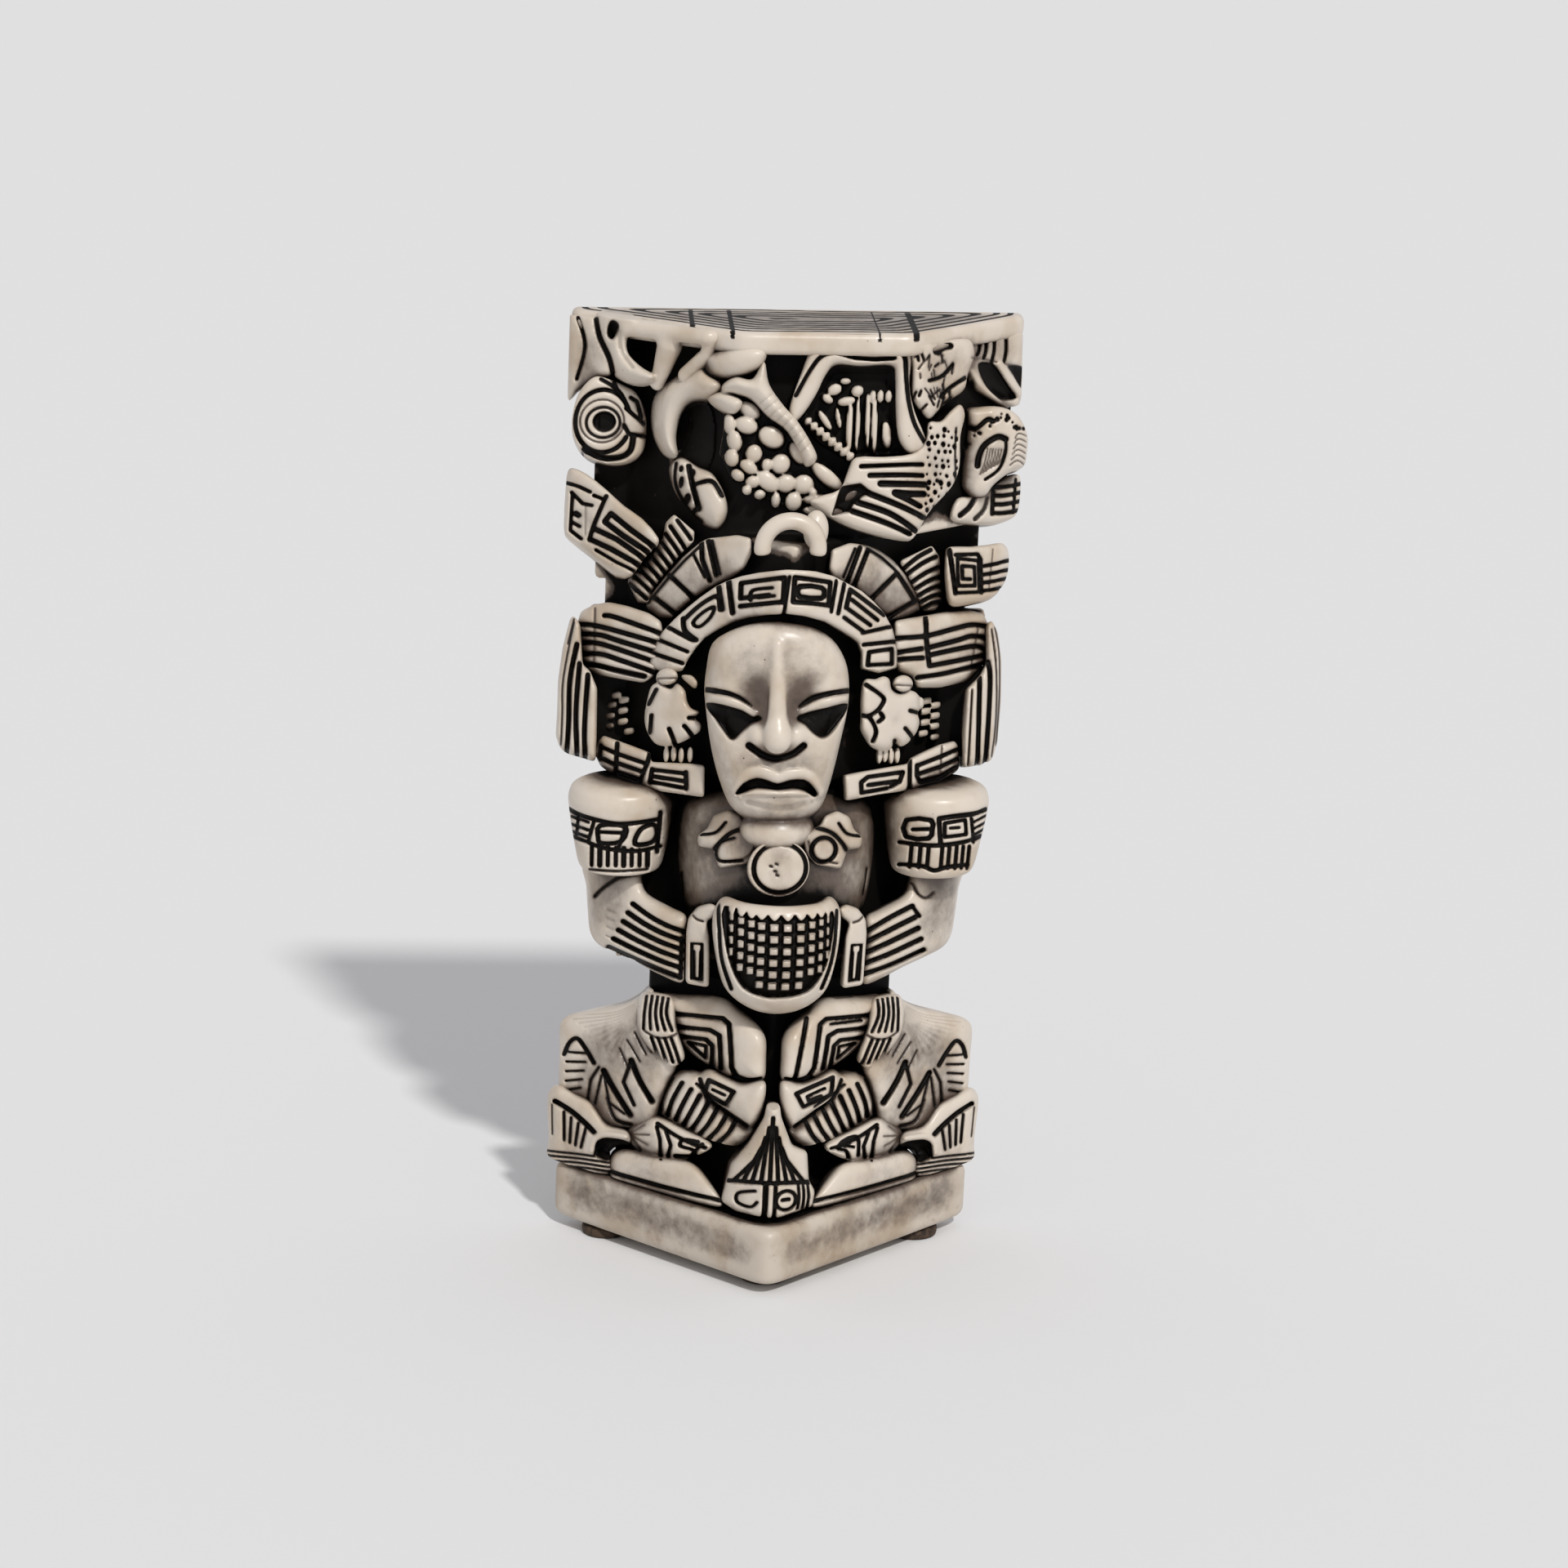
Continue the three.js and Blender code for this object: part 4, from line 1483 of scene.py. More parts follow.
    def petal(self, side: Side) -> Clay:
        """Make a collar petal with its eye and two small lobes."""
        shape = Outline([(5.2, 114.8), (7, 117.4), (10, 118.8), (11.4, 121.6), (15, 123), (18.6, 121.4),
                         (20.2, 117.6), (22.8, 115.4), (22.4, 112.4), (18.6, 111.8), (16.7, 106.3),
                         (9.4, 107.6), (6.2, 111)], 1.0)
        sheet = sheet_over(shape)
        sheet.groove(curve([(9, 118.2), (13.6, 116.6), (16.6, 113.8), (18, 111.8)]), 1.1)
        sheet.groove(curve([(15.4, 119.4), (18, 116.4), (22, 115.8)]), 0.8)
        if side is Side.RIGHT:
            sheet.loop(arc((11.4, 111.9), (3.5, 3.4), 0, 345, 24), 1.2)
        else:
            sheet.groove(curve([(10.6, 108.8), (16.3, 108.4), (17.6, 110.8), (16.4, 113.6), (13, 115)]), 0.8)
        sheet.groove(curve([(6.8, 114.4), (8.4, 110.6), (10.6, 109), (15.6, 108)]), 0.6, 0.7)
        sheet.softened(0.3)
        return applied(f"collar_petal_{side.word}", mirrored_outline(shape, side), 6.4, 9,
                       mirrored_sheet(sheet, side), 2.4)


# ---- Head ----


@dataclass
class Head:
    """The idol's mask, the glyph headband, the ear flares and the banded head-dress round them."""

    middle: float = -2.8  # the mask sits a little left of the ridge

    def build(self) -> list[Clay]:
        """Make every element of the head.

        Returns:
            The elements.
        """
        made = [self.mask(), self.headband()]
        for side in Side:
            made += [self.rim(side), self.flare(side), self.ribs(side), self.panel(side), self.chin(side)]
        return made

    def mask(self) -> Clay:
        """Make the mask: brow plate, heavy lids, long nose, drooping mouth and the beard under it."""
        edge = Outline(curve([(-21, 169.5), (-15, 173.4), (-8.5, 175), (-1.8, 175.2), (5, 174), (11, 170.8),
                              (14.9, 165.3), (16.4, 159.3), (16.4, 152), (14.8, 143), (13.5, 135.7),
                              (12, 128.8), (10.2, 123.6), (6.6, 120.2), (2.2, 118.6), (-1.8, 118.2),
                              (-6.3, 118.8), (-10.9, 120.8), (-14.7, 124.6), (-17.2, 130.1), (-19.2, 136.2),
                              (-20.8, 143.1), (-22.3, 152.4), (-22.8, 157), (-22.4, 163)], True, 3), 0.5)
        sheet = sheet_over(edge)
        for line in (((-22.4, 156.4), (-19.4, 155.8), (-16, 154.9), (-13, 153.4), (-10.2, 150.8)),
                     ((3, 151.6), (5.8, 154), (10, 155.3), (16.4, 156.5))):
            sheet.groove(curve(line), 1.5, 1.3)
        left_eye = curve([(-22, 152.6), (-16, 151.4), (-10.4, 149.6), (-7.6, 148.4), (-10, 147.2),
                          (-12.2, 145), (-14.9, 142.4), (-17.2, 144.8), (-20, 149)], True, 3)
        right_eye = curve([(2, 148.4), (4, 149.8), (10, 151.4), (15.9, 152.7), (14, 148.4), (11.2, 144.4),
                           (8.9, 143.2), (6.4, 144.6), (4.2, 147)], True, 3)
        sheet.area(left_eye, 2.7, 0.45).area(right_eye, 2.7, 0.45)
        sheet.ridge(curve([(-21.6, 154), (-17, 153.4), (-13, 152), (-9.6, 149.8)]), 2.2, 0.6)
        sheet.ridge(curve([(3.2, 150.6), (8, 152.8), (15.9, 154.4)]), 2.2, 0.6)
        lip = curve([(-13.4, 128.4), (-11.2, 132.2), (-8.2, 133.6), (-5.4, 133), (-2.6, 131.8), (0.4, 132.8),
                     (4.4, 133), (7, 131.2), (9, 128.2)])
        sheet.ridge(lip, 3.6, 1.3)
        sheet.ridge(curve([(-11.4, 127), (-7, 127.4), (-2, 127), (3.5, 127.2), (6.4, 126.6)]), 3.2, 1.1)
        mouth = [(-13.6, 127.3), (-11.6, 130.4), (-8.2, 131.9), (-5, 131.2), (-2.4, 130.4), (0.8, 131.4),
                 (4.6, 131.6), (7, 130), (8.6, 127.8), (7.5, 127), (5, 128.5), (1.7, 129.2), (-2.3, 128.7),
                 (-7.7, 129.2), (-10.6, 128.1)]
        sheet.area(curve(mouth, True, 2), 2.6, 0.3)
        sheet.groove(curve([(-10.6, 140.9), (-7.6, 138.8), (-4.8, 137.6), (-2.1, 137.5), (1.4, 138.8),
                            (4, 141)]), 1.7, 1.8)
        # a shallow cut under the lower lip; the wash the finish lays in it is a painted shadow under the lip
        sheet.groove(curve([(-10, 125.2), (-5, 124), (-1.7, 123.6), (2, 124), (5, 125)]), 1.8, 0.3)
        sheet.softened(0.25)

        def form(p: Points) -> Array:
            front = ball(p, (self.middle, 38, 165), (25, 21.6, 46))
            for x in (-11.4, 5.2):
                front = smooth_max(front, -ball(p, (x, 61.6, 169), (6.6, 5.4, 8.5)), 3.0)
            bridge = rod(p, (-4.0, 57.4, 183.4), (-3.4, 60.4, 162), 1.0, 2.7)
            tip = ball(p, (-3.2, 60.6, 158.8), (3.9, 4.4, 4.4))
            nose = smooth_min(bridge, tip, 2.5)
            for x in (-8.2, 1.8):
                nose = smooth_min(nose, ball(p, (x, 57.4, 158.8), (2.7, 3.4, 3.2)), 1.4)
            front = smooth_min(front, nose, 1.6)
            whole = smooth_max(front, edge.at(p.x, p.v), 6.0)
            beard = ball(p, (-1.6, 44, 129.6), (10.2, 10.4, 6.8))
            return np.maximum(np.minimum(whole, beard), 42 - p.f)

        return Clay("face_mask", ("face_mask",), (-23.6, 42, 122), (17.2, 66.2, 193), form, sheet)

    def headband(self) -> Clay:
        """Make the arched headband with its row of square spirals and bars."""
        outer = [(-37.6, 163.6), (-36.6, 168.6), (-34.4, 172.8), (-31, 176.6), (-27.5, 179.8),
                 (-24.4, 182.4), (-20.5, 185.2), (-17.9, 186.5), (-13.9, 187.8), (-9.4, 188.6),
                 (-2.2, 189.2), (5.6, 188.9), (10.6, 187.9), (13.8, 186.5), (18.8, 184.3), (22.5, 181.5),
                 (25.6, 178.6), (28.4, 174.2), (30, 168.8), (30.2, 163.4)]
        inner = [(24.8, 161.8), (19.8, 163), (19.6, 167.4), (18.4, 170.2), (16.6, 171.4), (12.9, 173.3),
                 (8.4, 175.4), (2.9, 176.7), (-1.8, 177.2), (-6.3, 177), (-11.6, 176.3), (-16, 175.1),
                 (-19.5, 173.3), (-22.7, 171.2), (-25, 168.4), (-27, 165.2), (-28.4, 162), (-33, 161.2)]
        shape = Outline(outer + inner, 0.6)
        sheet = sheet_over(shape)
        sheet.groove(curve([(-28.8, 176.4), (-28.2, 173), (-25.2, 170.4)]), 1.3)
        sheet.groove(curve([(-28.2, 176.4), (-25.4, 179.2), (-22.4, 181.4), (-19.9, 182.2), (-19.2, 178.6)]),
                     1.2)
        sheet.loop(curve([(-26.2, 175.2), (-23.6, 178), (-20.8, 179.4), (-21.6, 176.6), (-24.4, 174)],
                         True, 3), 0.9)
        sheet.groove([(-19.8, 185), (-18.6, 178.6)], 1.3).groove([(-17.3, 186.6), (-15.9, 177.6)], 1.4)
        sheet.key([(-14, 179.4), (-3, 180.3), (-2.9, 186.9), (-14, 185.7)], 1, 1.25)
        sheet.groove(curve([(-11.4, 181), (-11, 183.6), (-6, 184.2)]), 0.9)
        sheet.groove([(-9.2, 181.6), (-5.4, 182)], 0.9)
        sheet.groove([(-1.6, 187.2), (-2.7, 177)], 0.8)
        sheet.loop([(-0.4, 180.4), (9.4, 179.7), (9.6, 186), (-0.2, 187)], 1.2)
        sheet.loop(curve([(1.2, 181.8), (1.2, 184.6), (7.2, 184.4), (8, 183), (7.2, 181.6)], True, 2), 1.3)
        sheet.groove([(11.3, 186.6), (10.2, 178)], 0.9).groove([(13.6, 186), (12.2, 177.6)], 1.0)
        sheet.groove([(14.4, 179.3), (15.4, 184.4), (25.4, 178)], 1.2)
        sheet.groove([(16, 181.6), (23.6, 176.4)], 1.1)
        sheet.groove([(15.2, 178.9), (21.6, 174.9)], 1.1)
        sheet.groove([(14, 176.6), (19.7, 173)], 1.1)
        sheet.groove([(19.4, 172.6), (28.4, 175)], 1.0).groove([(20, 169.4), (29.6, 170.8)], 1.1)
        sheet.loop([(21.4, 163.8), (28.4, 164.4), (28.2, 168.6), (21.6, 167.4)], 1.1)
        sheet.groove([(-33.2, 174.4), (-26, 170.2)], 1.1).groove([(-35.4, 170.8), (-27.4, 167.2)], 1.0)
        sheet.groove([(-36.8, 167), (-28.6, 164)], 1.1)
        sheet.softened(0.2)
        return applied("headband", shape, 2, 13.5, sheet, 1.8, blunt(57.5))

    def rim(self, side: Side) -> Clay:
        """Make the outer arch of plain blocks behind the headband."""
        if side is Side.LEFT:
            points = [(-39, 180.2), (-38.4, 182.6), (-33.8, 188.8), (-29.4, 194), (-25, 197.7),
                      (-22.9, 198.8), (-15.2, 199.4), (-11.6, 198.4), (-11.4, 194), (-13, 190),
                      (-15.8, 187.6), (-22, 184.8), (-26.3, 182), (-30.4, 178.4), (-31.4, 176.8),
                      (-35.4, 176.8), (-38.3, 179)]
            lines = [[(-36.9, 183), (-30.2, 177.6)], [(-32.9, 189), (-26.2, 182.4)],
                     [(-24.6, 197.6), (-24.2, 192.9), (-22, 187)], [(-22.8, 198), (-20.4, 188.4)]]
            fine = [[(-38.3, 181.4), (-33, 188.2), (-28.8, 192.9), (-25, 196.6)],
                    [(-26.8, 194.8), (-23.4, 188)], [(-21.8, 198), (-19.4, 188.6)]]
        else:
            points = [(37, 180), (35.2, 185), (31.8, 189.9), (28, 193.6), (23.7, 196.2), (20, 197.4),
                      (15, 197.6), (10, 195.4), (9.4, 190), (10.5, 187.2), (17.8, 184.4), (22.4, 181),
                      (26.1, 178), (27.4, 176.2), (31.8, 177)]
            lines = [[(22.2, 182.8), (29, 189.9)], [(26.9, 177.6), (34.8, 182.5)],
                     [(29.2, 189.9), (34.9, 182.5)], [(18, 196.4), (14.8, 187)],
                     [(20.2, 195.6), (16.8, 186)]]
            fine = [[(20.1, 196.3), (24.4, 194), (28.8, 190.6)], [(16.6, 196), (13.6, 188)]]
        shape = Outline(points, 0.8)
        sheet = sheet_over(shape)
        sheet.grooves(lines, 1.25).grooves(fine, 0.7)
        sheet.softened(0.3)
        return applied(f"head_rim_{side.word}", shape, 7, 14, sheet, 2.4)

    def flare(self, side: Side) -> Clay:
        """Make an ear flare: a bead over a lobed flower, with little bars hanging under it."""
        if side is Side.LEFT:
            petals = [(-36.6, 157.8), (-37.6, 154), (-38.2, 149), (-37.4, 145), (-34.9, 141.4),
                      (-31.3, 140.8), (-28.6, 141.6), (-25.6, 143.2), (-23.3, 145), (-23.2, 147.2),
                      (-24.8, 148.6), (-23.6, 150.4), (-25.8, 151.4), (-27, 153.4), (-27.6, 156.3),
                      (-29.8, 158.4), (-31.6, 157), (-34.2, 158.8)]
            bead, side_bead = (-32.6, 160.2), [(-29.9, 161.1), (-25.9, 160.7), (-24.2, 158.6),
                                               (-24.6, 156.3)]
            cuts = [[(-31.6, 145.6), (-29.6, 141)], [(-27.6, 146.4), (-25.2, 143.6)],
                    [(-26.4, 148.6), (-23, 148.6)], [(-36.4, 149.4), (-36.6, 144.6)],
                    [(-35.4, 156.6), (-37.2, 152.6)]]
            beads = [(-32, 138.4), (-30, 138.6), (-28, 138.2), (-25.6, 138.4)]
        else:
            petals = [(20.6, 159.6), (23.8, 160), (26, 160.9), (27.9, 160.2), (28.7, 157.4), (31.1, 156.3),
                      (34.6, 157.2), (37, 155.6), (37.3, 152), (36.8, 150.6), (37.5, 148.4), (36.8, 145.6),
                      (34.8, 142.8), (32.5, 141.3), (30.7, 142.2), (29, 140.4), (26.3, 140.1), (23.4, 141.3),
                      (21.6, 143.8), (20.3, 146.1), (20.3, 149.8), (20, 154)]
            bead, side_bead = (31.9, 158.9), [(36.6, 156), (38.6, 155), (38.6, 152.4), (37, 151.6)]
            cuts = [[(34.2, 151.4), (37.4, 150.7)], [(33, 146.4), (35.4, 144)],
                    [(30.2, 142.9), (30.6, 140.4)], [(21, 158.3), (25.3, 155.5), (26.3, 154), (24.8, 151.4),
                                                     (22.2, 149.6), (20.4, 149.8)],
                    [(22, 149.6), (23.4, 147.8), (24.5, 145.2), (23.8, 142.6)],
                    [(25.6, 150.4), (26.3, 149.2), (25, 148)]]
            beads = [(26.3, 138.6), (28, 139), (29.8, 138.6), (31.6, 138.8)]
        shape = Outline(curve(petals, True, 3), 0.4)
        knob = Outline(arc(bead, (2.9, 2.5), 0, 350, 24), 0.2)
        small = Outline(side_bead, 1.0)
        bars = [Outline(arc(at, (0.75, 2.3), 0, 350, 18), 0.2) for at in beads]
        sheet = Sheet((min(shape.low[0], small.low[0]) - 3, 134),
                      (max(shape.high[0], small.high[0]) + 3, 166))
        for line in cuts:
            sheet.groove(curve(line), 1.1, 1.4)
        sheet.loop(arc(bead, (2.9, 2.5), 190, 350, 20), 0.7, 0.5)
        sheet.softened(0.35)
        form = joined(tile(shape, -1.6, 9, 3.4), tile(knob, -2.4, 9, 2.6), tile(small, 0, 7, 2.2),
                      *(tile(bar, 3.2, 6, 1.2) for bar in bars), reach=0.4)
        ends = sorted((shape.low[0] - 2.2, shape.high[0] + 2.2))
        low, high = (ends[0], 18, 140), (ends[1], 48, 176)
        name = f"ear_flare_{side.word}"
        return Clay(name, (name,), low, high, form, sheet)

    def ribs(self, side: Side) -> Clay:
        """Make a head-dress panel of long level ribs, with small stacked blocks in the window below."""
        if side is Side.LEFT:
            points = [(-57.4, 176.4), (-56.6, 179.4), (-53, 181.2), (-49, 181.8), (-44, 180.6), (-38, 178.4),
                      (-34.6, 176), (-34, 173), (-35, 166), (-35.6, 161), (-38.6, 158.8), (-50.6, 161),
                      (-56.2, 163)]
            lines = [[(-50, 177.8), (-46.7, 177.1), (-34.4, 172.3)],
                     [(-57, 175.6), (-50.7, 174.6), (-34.4, 169.5)],
                     [(-57, 172.9), (-51, 172.3), (-46, 170.6), (-35.1, 166.9)],
                     [(-57, 170.3), (-50.5, 169.7), (-35.4, 164.2)],
                     [(-56.8, 167.1), (-50.8, 166.9), (-45.4, 165.1), (-35.5, 161.4)],
                     [(-55.8, 164.3), (-52, 163.9), (-46.1, 162.3), (-38.6, 160.5)]]
            fine = [[(-52.7, 180), (-52.6, 164)]]
            stack = ((-46, 155.4), (-47.2, 152.6), (-47.6, 149.4), (-47.8, 146.4), (-43.8, 154), (-44, 151),
                     (-44, 147.8), (-42.2, 145))
        else:
            points = [(28.6, 176.6), (33, 177.6), (38, 178.6), (44, 180), (51, 180.8), (55.4, 180),
                      (57.4, 176.4), (57, 168), (56.6, 165.4), (51.5, 160.4), (43.5, 158.4), (36.6, 158.2),
                      (35, 161.4), (30.6, 162.4), (29.2, 166), (28.8, 171)]
            lines = [[(29.4, 171.6), (38, 172.6), (47.3, 175.3), (51.8, 176.4), (57, 176.1)],
                     [(38.7, 169.3), (47.5, 171.8), (51.9, 173.2), (57, 172.9)],
                     [(39.1, 167.2), (47.6, 169.3), (53.4, 170.4), (56.8, 169.4)],
                     [(39.5, 164.2), (47.7, 166), (56.8, 168.1)],
                     [(36.3, 160.9), (43.4, 162.1), (51.4, 164.2), (56.8, 165.6)],
                     [(37.7, 178), (38.3, 171.1), (39.5, 164.2)], [(29.6, 167.6), (37, 169)],
                     [(29.8, 165.7), (37.4, 166.4)]]
            fine = [[(53.8, 176), (52.2, 164.4)]]
            stack = ((43, 153.4), (43, 150.4), (43, 147.4), (43.2, 144.2), (40.2, 154.6), (40, 151.6),
                     (40, 148.4), (39.6, 145.2))
        shape = Outline(points, 1.4)
        blocks = [Outline([(u - 1.5, v - 1.2), (u + 1.5, v - 0.6), (u + 1.5, v + 1.3), (u - 1.5, v + 0.8)],
                          0.8)
                  for u, v in stack]
        sheet = Sheet((shape.low[0] - 3, 140), (shape.high[0] + 3, shape.high[1] + 3))
        sheet.grooves([curve(line) for line in lines], 1.35).grooves(fine, 0.8, 0.55)
        sheet.softened(0.25)
        form = joined(tile(shape, 1, 22, 3.6), *(tile(block, 10.5, 8, 1.4) for block in blocks), reach=0.4)
        low, high = span(shape, 1, 22)
        name = f"rib_panel_{side.word}"
        return Clay(name, (name,), (low[0], 0, 146), high, form, sheet)

    def panel(self, side: Side) -> Clay:
        """Make the side panel that turns the corner in upright ribs."""
        left = side is Side.LEFT
        if left:
            points = [(58.6, 178.4), (59.6, 177), (61.4, 168.8), (62.4, 159.5), (62.4, 150.3), (62.6, 143.8),
                      (61.4, 140.4), (59.5, 138.6), (51.2, 136.2), (51.2, 145), (51.4, 157.2), (53.6, 162.3),
                      (55.6, 164), (56.6, 175.3)]
            lines = [[(59.3, 138.9), (59, 147.9), (59, 159.5), (57.4, 169.7)],
                     [(56.4, 138), (57.1, 150.3), (56.5, 164.2)],
                     [(54.1, 137.4), (54.6, 145.6), (54.1, 161)]]
            fine = [[(61, 141), (60.9, 150), (60.9, 160), (58.4, 176)], [(59.9, 170), (58.4, 177)]]
        else:
            points = [(57.4, 178.4), (59.7, 174.4), (61.3, 166.5), (61.8, 154.9), (61.4, 143.3), (60, 138),
                      (57.4, 136.4), (51, 135.5), (50.6, 145.7), (51, 158.1), (54.6, 161.8), (56.6, 165.6),
                      (56, 176.2)]
            lines = [[(55.2, 136.6), (54.8, 150.3), (54.5, 161.4)],
                     [(57.6, 137), (57.8, 150.3), (57.6, 161.9), (56.8, 166)]]
            fine = [[(59.6, 138.8), (60.2, 150.3), (59.4, 164.2), (57.4, 175.3)],
                    [(60.8, 142), (61, 155), (60.2, 168), (58.4, 176)], [(52.4, 136.4), (52.4, 158)]]
        shape = Outline(points, 1.2)
        sheet = sheet_over(shape)
        sheet.grooves([curve(line) for line in lines], 1.3).grooves([curve(line) for line in fine], 0.6, 0.8)
        sheet.softened(0.25)
        return applied(f"side_panel_{side.word}", mirrored_outline(shape, side), -4, 40,
                       mirrored_sheet(sheet, side), 3.4)

    def chin(self, side: Side) -> Clay:
        """Make the glyph band that runs from under the ear flare to the cuff."""
        if side is Side.LEFT:
            points = [(-49.4, 143.9), (-43.5, 141.7), (-36.2, 138.9), (-36, 136.3), (-25, 135.9),
                      (-21.6, 135.4), (-21.4, 126.4), (-33, 127.9), (-39.5, 129.4), (-45.5, 131.9),
                      (-49.8, 135.1), (-51.6, 138.8), (-50.8, 142)]
            lines = [[(-36.4, 139), (-36.9, 136.4), (-38.9, 130.4)], [(-45, 138.4), (-37.6, 135.8)],
                     [(-45.4, 135.9), (-38.2, 133.4)], [(-45.2, 133.3), (-39, 131.2)],
                     [(-45.4, 141.6), (-45.6, 132.6)], [(-49.6, 140.4), (-46, 138.8)],
                     [(-50, 137.6), (-46, 135.4)], [(-50, 141), (-50.2, 137)],
                     [(-35.6, 134), (-26.8, 133)], [(-35.7, 132.2), (-26.6, 130.8)],
                     [(-36, 130.6), (-26.3, 128.8)], [(-26.6, 133.4), (-26.3, 128.6)],
                     [(-35.7, 134.2), (-36.2, 130.4)]]
        else:
            points = [(16.2, 133), (21, 134), (35, 136.5), (35.4, 137.9), (38.5, 139.5), (44.2, 142.1),
                      (48.6, 143.3), (49.9, 141.6), (50.5, 135.4), (49.5, 134.3), (44.7, 131.1),
                      (35.4, 128.9), (26, 127.5), (17, 125.8)]
            lines = [[(35.2, 138), (35.5, 129)], [(37.5, 135.9), (44.6, 138.7), (50, 141)],
                     [(37.6, 133.4), (44.5, 135.7), (50, 138.2)],
                     [(38.4, 131.4), (44.6, 132.9), (50, 136.2)], [(37.4, 136), (37.5, 133), (38.4, 131.4)],
                     [(29, 129.4), (21.3, 128), (21.1, 131), (23, 132.5), (33.3, 134), (32.4, 131.2),
                      (30, 129.8)],
                     [(23.2, 130.2), (31.4, 131.4)]]
        shape = Outline(points, 0.8)
        sheet = sheet_over(shape)
        sheet.grooves(lines, 1.15)
        if side is Side.RIGHT:
            sheet.groove([(44.7, 141.8), (44.6, 132)], 0.7, 0.6)
        sheet.softened(0.25)
        return applied(f"chin_band_{side.word}", shape, 2, 20, sheet, 2.2)


# ---- Shoulder bands under the crown ----


@dataclass
class Bands:
    """The striped blocks, the feather combs and the loop between the head-dress and the crown."""

    def build(self) -> list[Clay]:
        """Make every element of the bands.

        Returns:
            The elements.
        """
        return [self.left_block(), self.right_block(), self.left_comb(), self.right_comb(), self.loop()]

    def left_block(self) -> Clay:
        """Make the long slanted block: a square of small cells, then nested bars."""
        shape = Outline(curve([(-61.8, 214), (-61.4, 218.6), (-60, 219.6), (-56, 217.6), (-50.6, 213),
                               (-45.6, 208.2), (-40.6, 204.4), (-36, 198.6), (-37.2, 196), (-39.8, 193.4),
                               (-43, 188.7), (-47.2, 188.8), (-54.1, 194.5), (-60.6, 199.6), (-62, 203)],
                              True, 2), 0.6)
        sheet = sheet_over(shape)
        sheet.groove(curve([(-50.6, 211), (-52.6, 206), (-54, 202.2), (-54.8, 199)]), 1.1)
        sheet.grooves([[(-50.8, 204), (-49.2, 206.1), (-44.1, 201.7), (-37.4, 196.4)],
                       [(-50.7, 203.8), (-45.8, 199.9), (-38.9, 195)],
                       [(-53.4, 202), (-47.5, 198.9), (-43.8, 196.2), (-40.2, 193.4)],
                       [(-54.7, 199.2), (-48.8, 196.2), (-41, 191.4)]], 1.4)
        sheet.groove([(-53, 196.2), (-47.3, 192.5), (-42.5, 190)], 0.8)
        sheet.grooves([[(-59.8, 211.8), (-60.1, 202)], [(-60.1, 212.6), (-57, 209.3), (-54.4, 208.6)],
                       [(-60, 204.4), (-57.6, 202.9)], [(-59.9, 201.8), (-57, 199.4)],
                       [(-62, 215.6), (-58, 214), (-55, 212.4)], [(-54, 211.4), (-51, 210)]], 0.9)
        sheet.groove([(-58.8, 206.6), (-58, 206)], 1.5, 1.4)
        sheet.groove([(-56.2, 209), (-56, 200.4)], 0.5, 0.5)
        sheet.softened(0.25)
        return applied("band_block_left", shape, -3, 40, sheet, 2.8)

    def right_block(self) -> Clay:
        """Make the block with a square spiral and side stripes."""
        shape = Outline(curve([(43, 196.6), (44, 198), (50, 198.4), (55.8, 199.4), (59.8, 200),
                               (61.8, 197.4), (61.9, 192), (60.4, 187.6), (57, 183.9), (52.9, 182.6),
                               (47.6, 181.4), (44.6, 181.8), (43.4, 186), (42.8, 191)], True, 2), 0.6)
        sheet = sheet_over(shape)
        sheet.groove([(43.5, 197), (44.4, 192.9), (46, 184.8)], 1.3)
        sheet.key([(46.9, 185), (53.2, 185.6), (52.4, 194.4), (46, 194.6)], 2, 0.95)
        sheet.groove([(45.4, 195.6), (52, 196.2), (53, 194.8), (53.8, 185.4)], 1.0)
        for start, end in (((54.2, 193), (61.8, 195.2)), ((54.2, 190.6), (61.6, 192.5)),
                           ((54.2, 188.3), (61.2, 190)), ((54.2, 186), (59.6, 187.3))):
            sheet.groove([start, ((start[0] + end[0]) / 2, (start[1] + end[1]) / 2 - 0.2), end], 1.0)
        sheet.groove([(56.6, 198), (56, 186)], 0.6, 0.5)
        sheet.softened(0.25)
        return applied("band_block_right", shape, -2, 40, sheet, 3.0)

    def left_comb(self) -> Clay:
        """Make the comb of short feathers that leans on the left rim."""
        shape = Outline([(-34.3, 203.6), (-32.1, 205.9), (-26.5, 200.8), (-26.6, 198), (-29.5, 195),
                         (-33.7, 189.6), (-37.1, 185), (-38.2, 181), (-41, 181.4), (-44, 187.4),
                         (-43.6, 190.4), (-40.1, 193), (-37.5, 195.9), (-35, 199.1)], 0.6)
        sheet = sheet_over(shape)
        sheet.fan([(-33, 202.4), (-29, 196.4)], [(-43.4, 186.8), (-38.6, 182.4)], 9, 1.05)
        sheet.groove([(-31.2, 204), (-27.4, 198.6)], 1.0)
        sheet.softened(0.35)
        return applied("feather_comb_left", shape, 6, 16, sheet, 2.4)

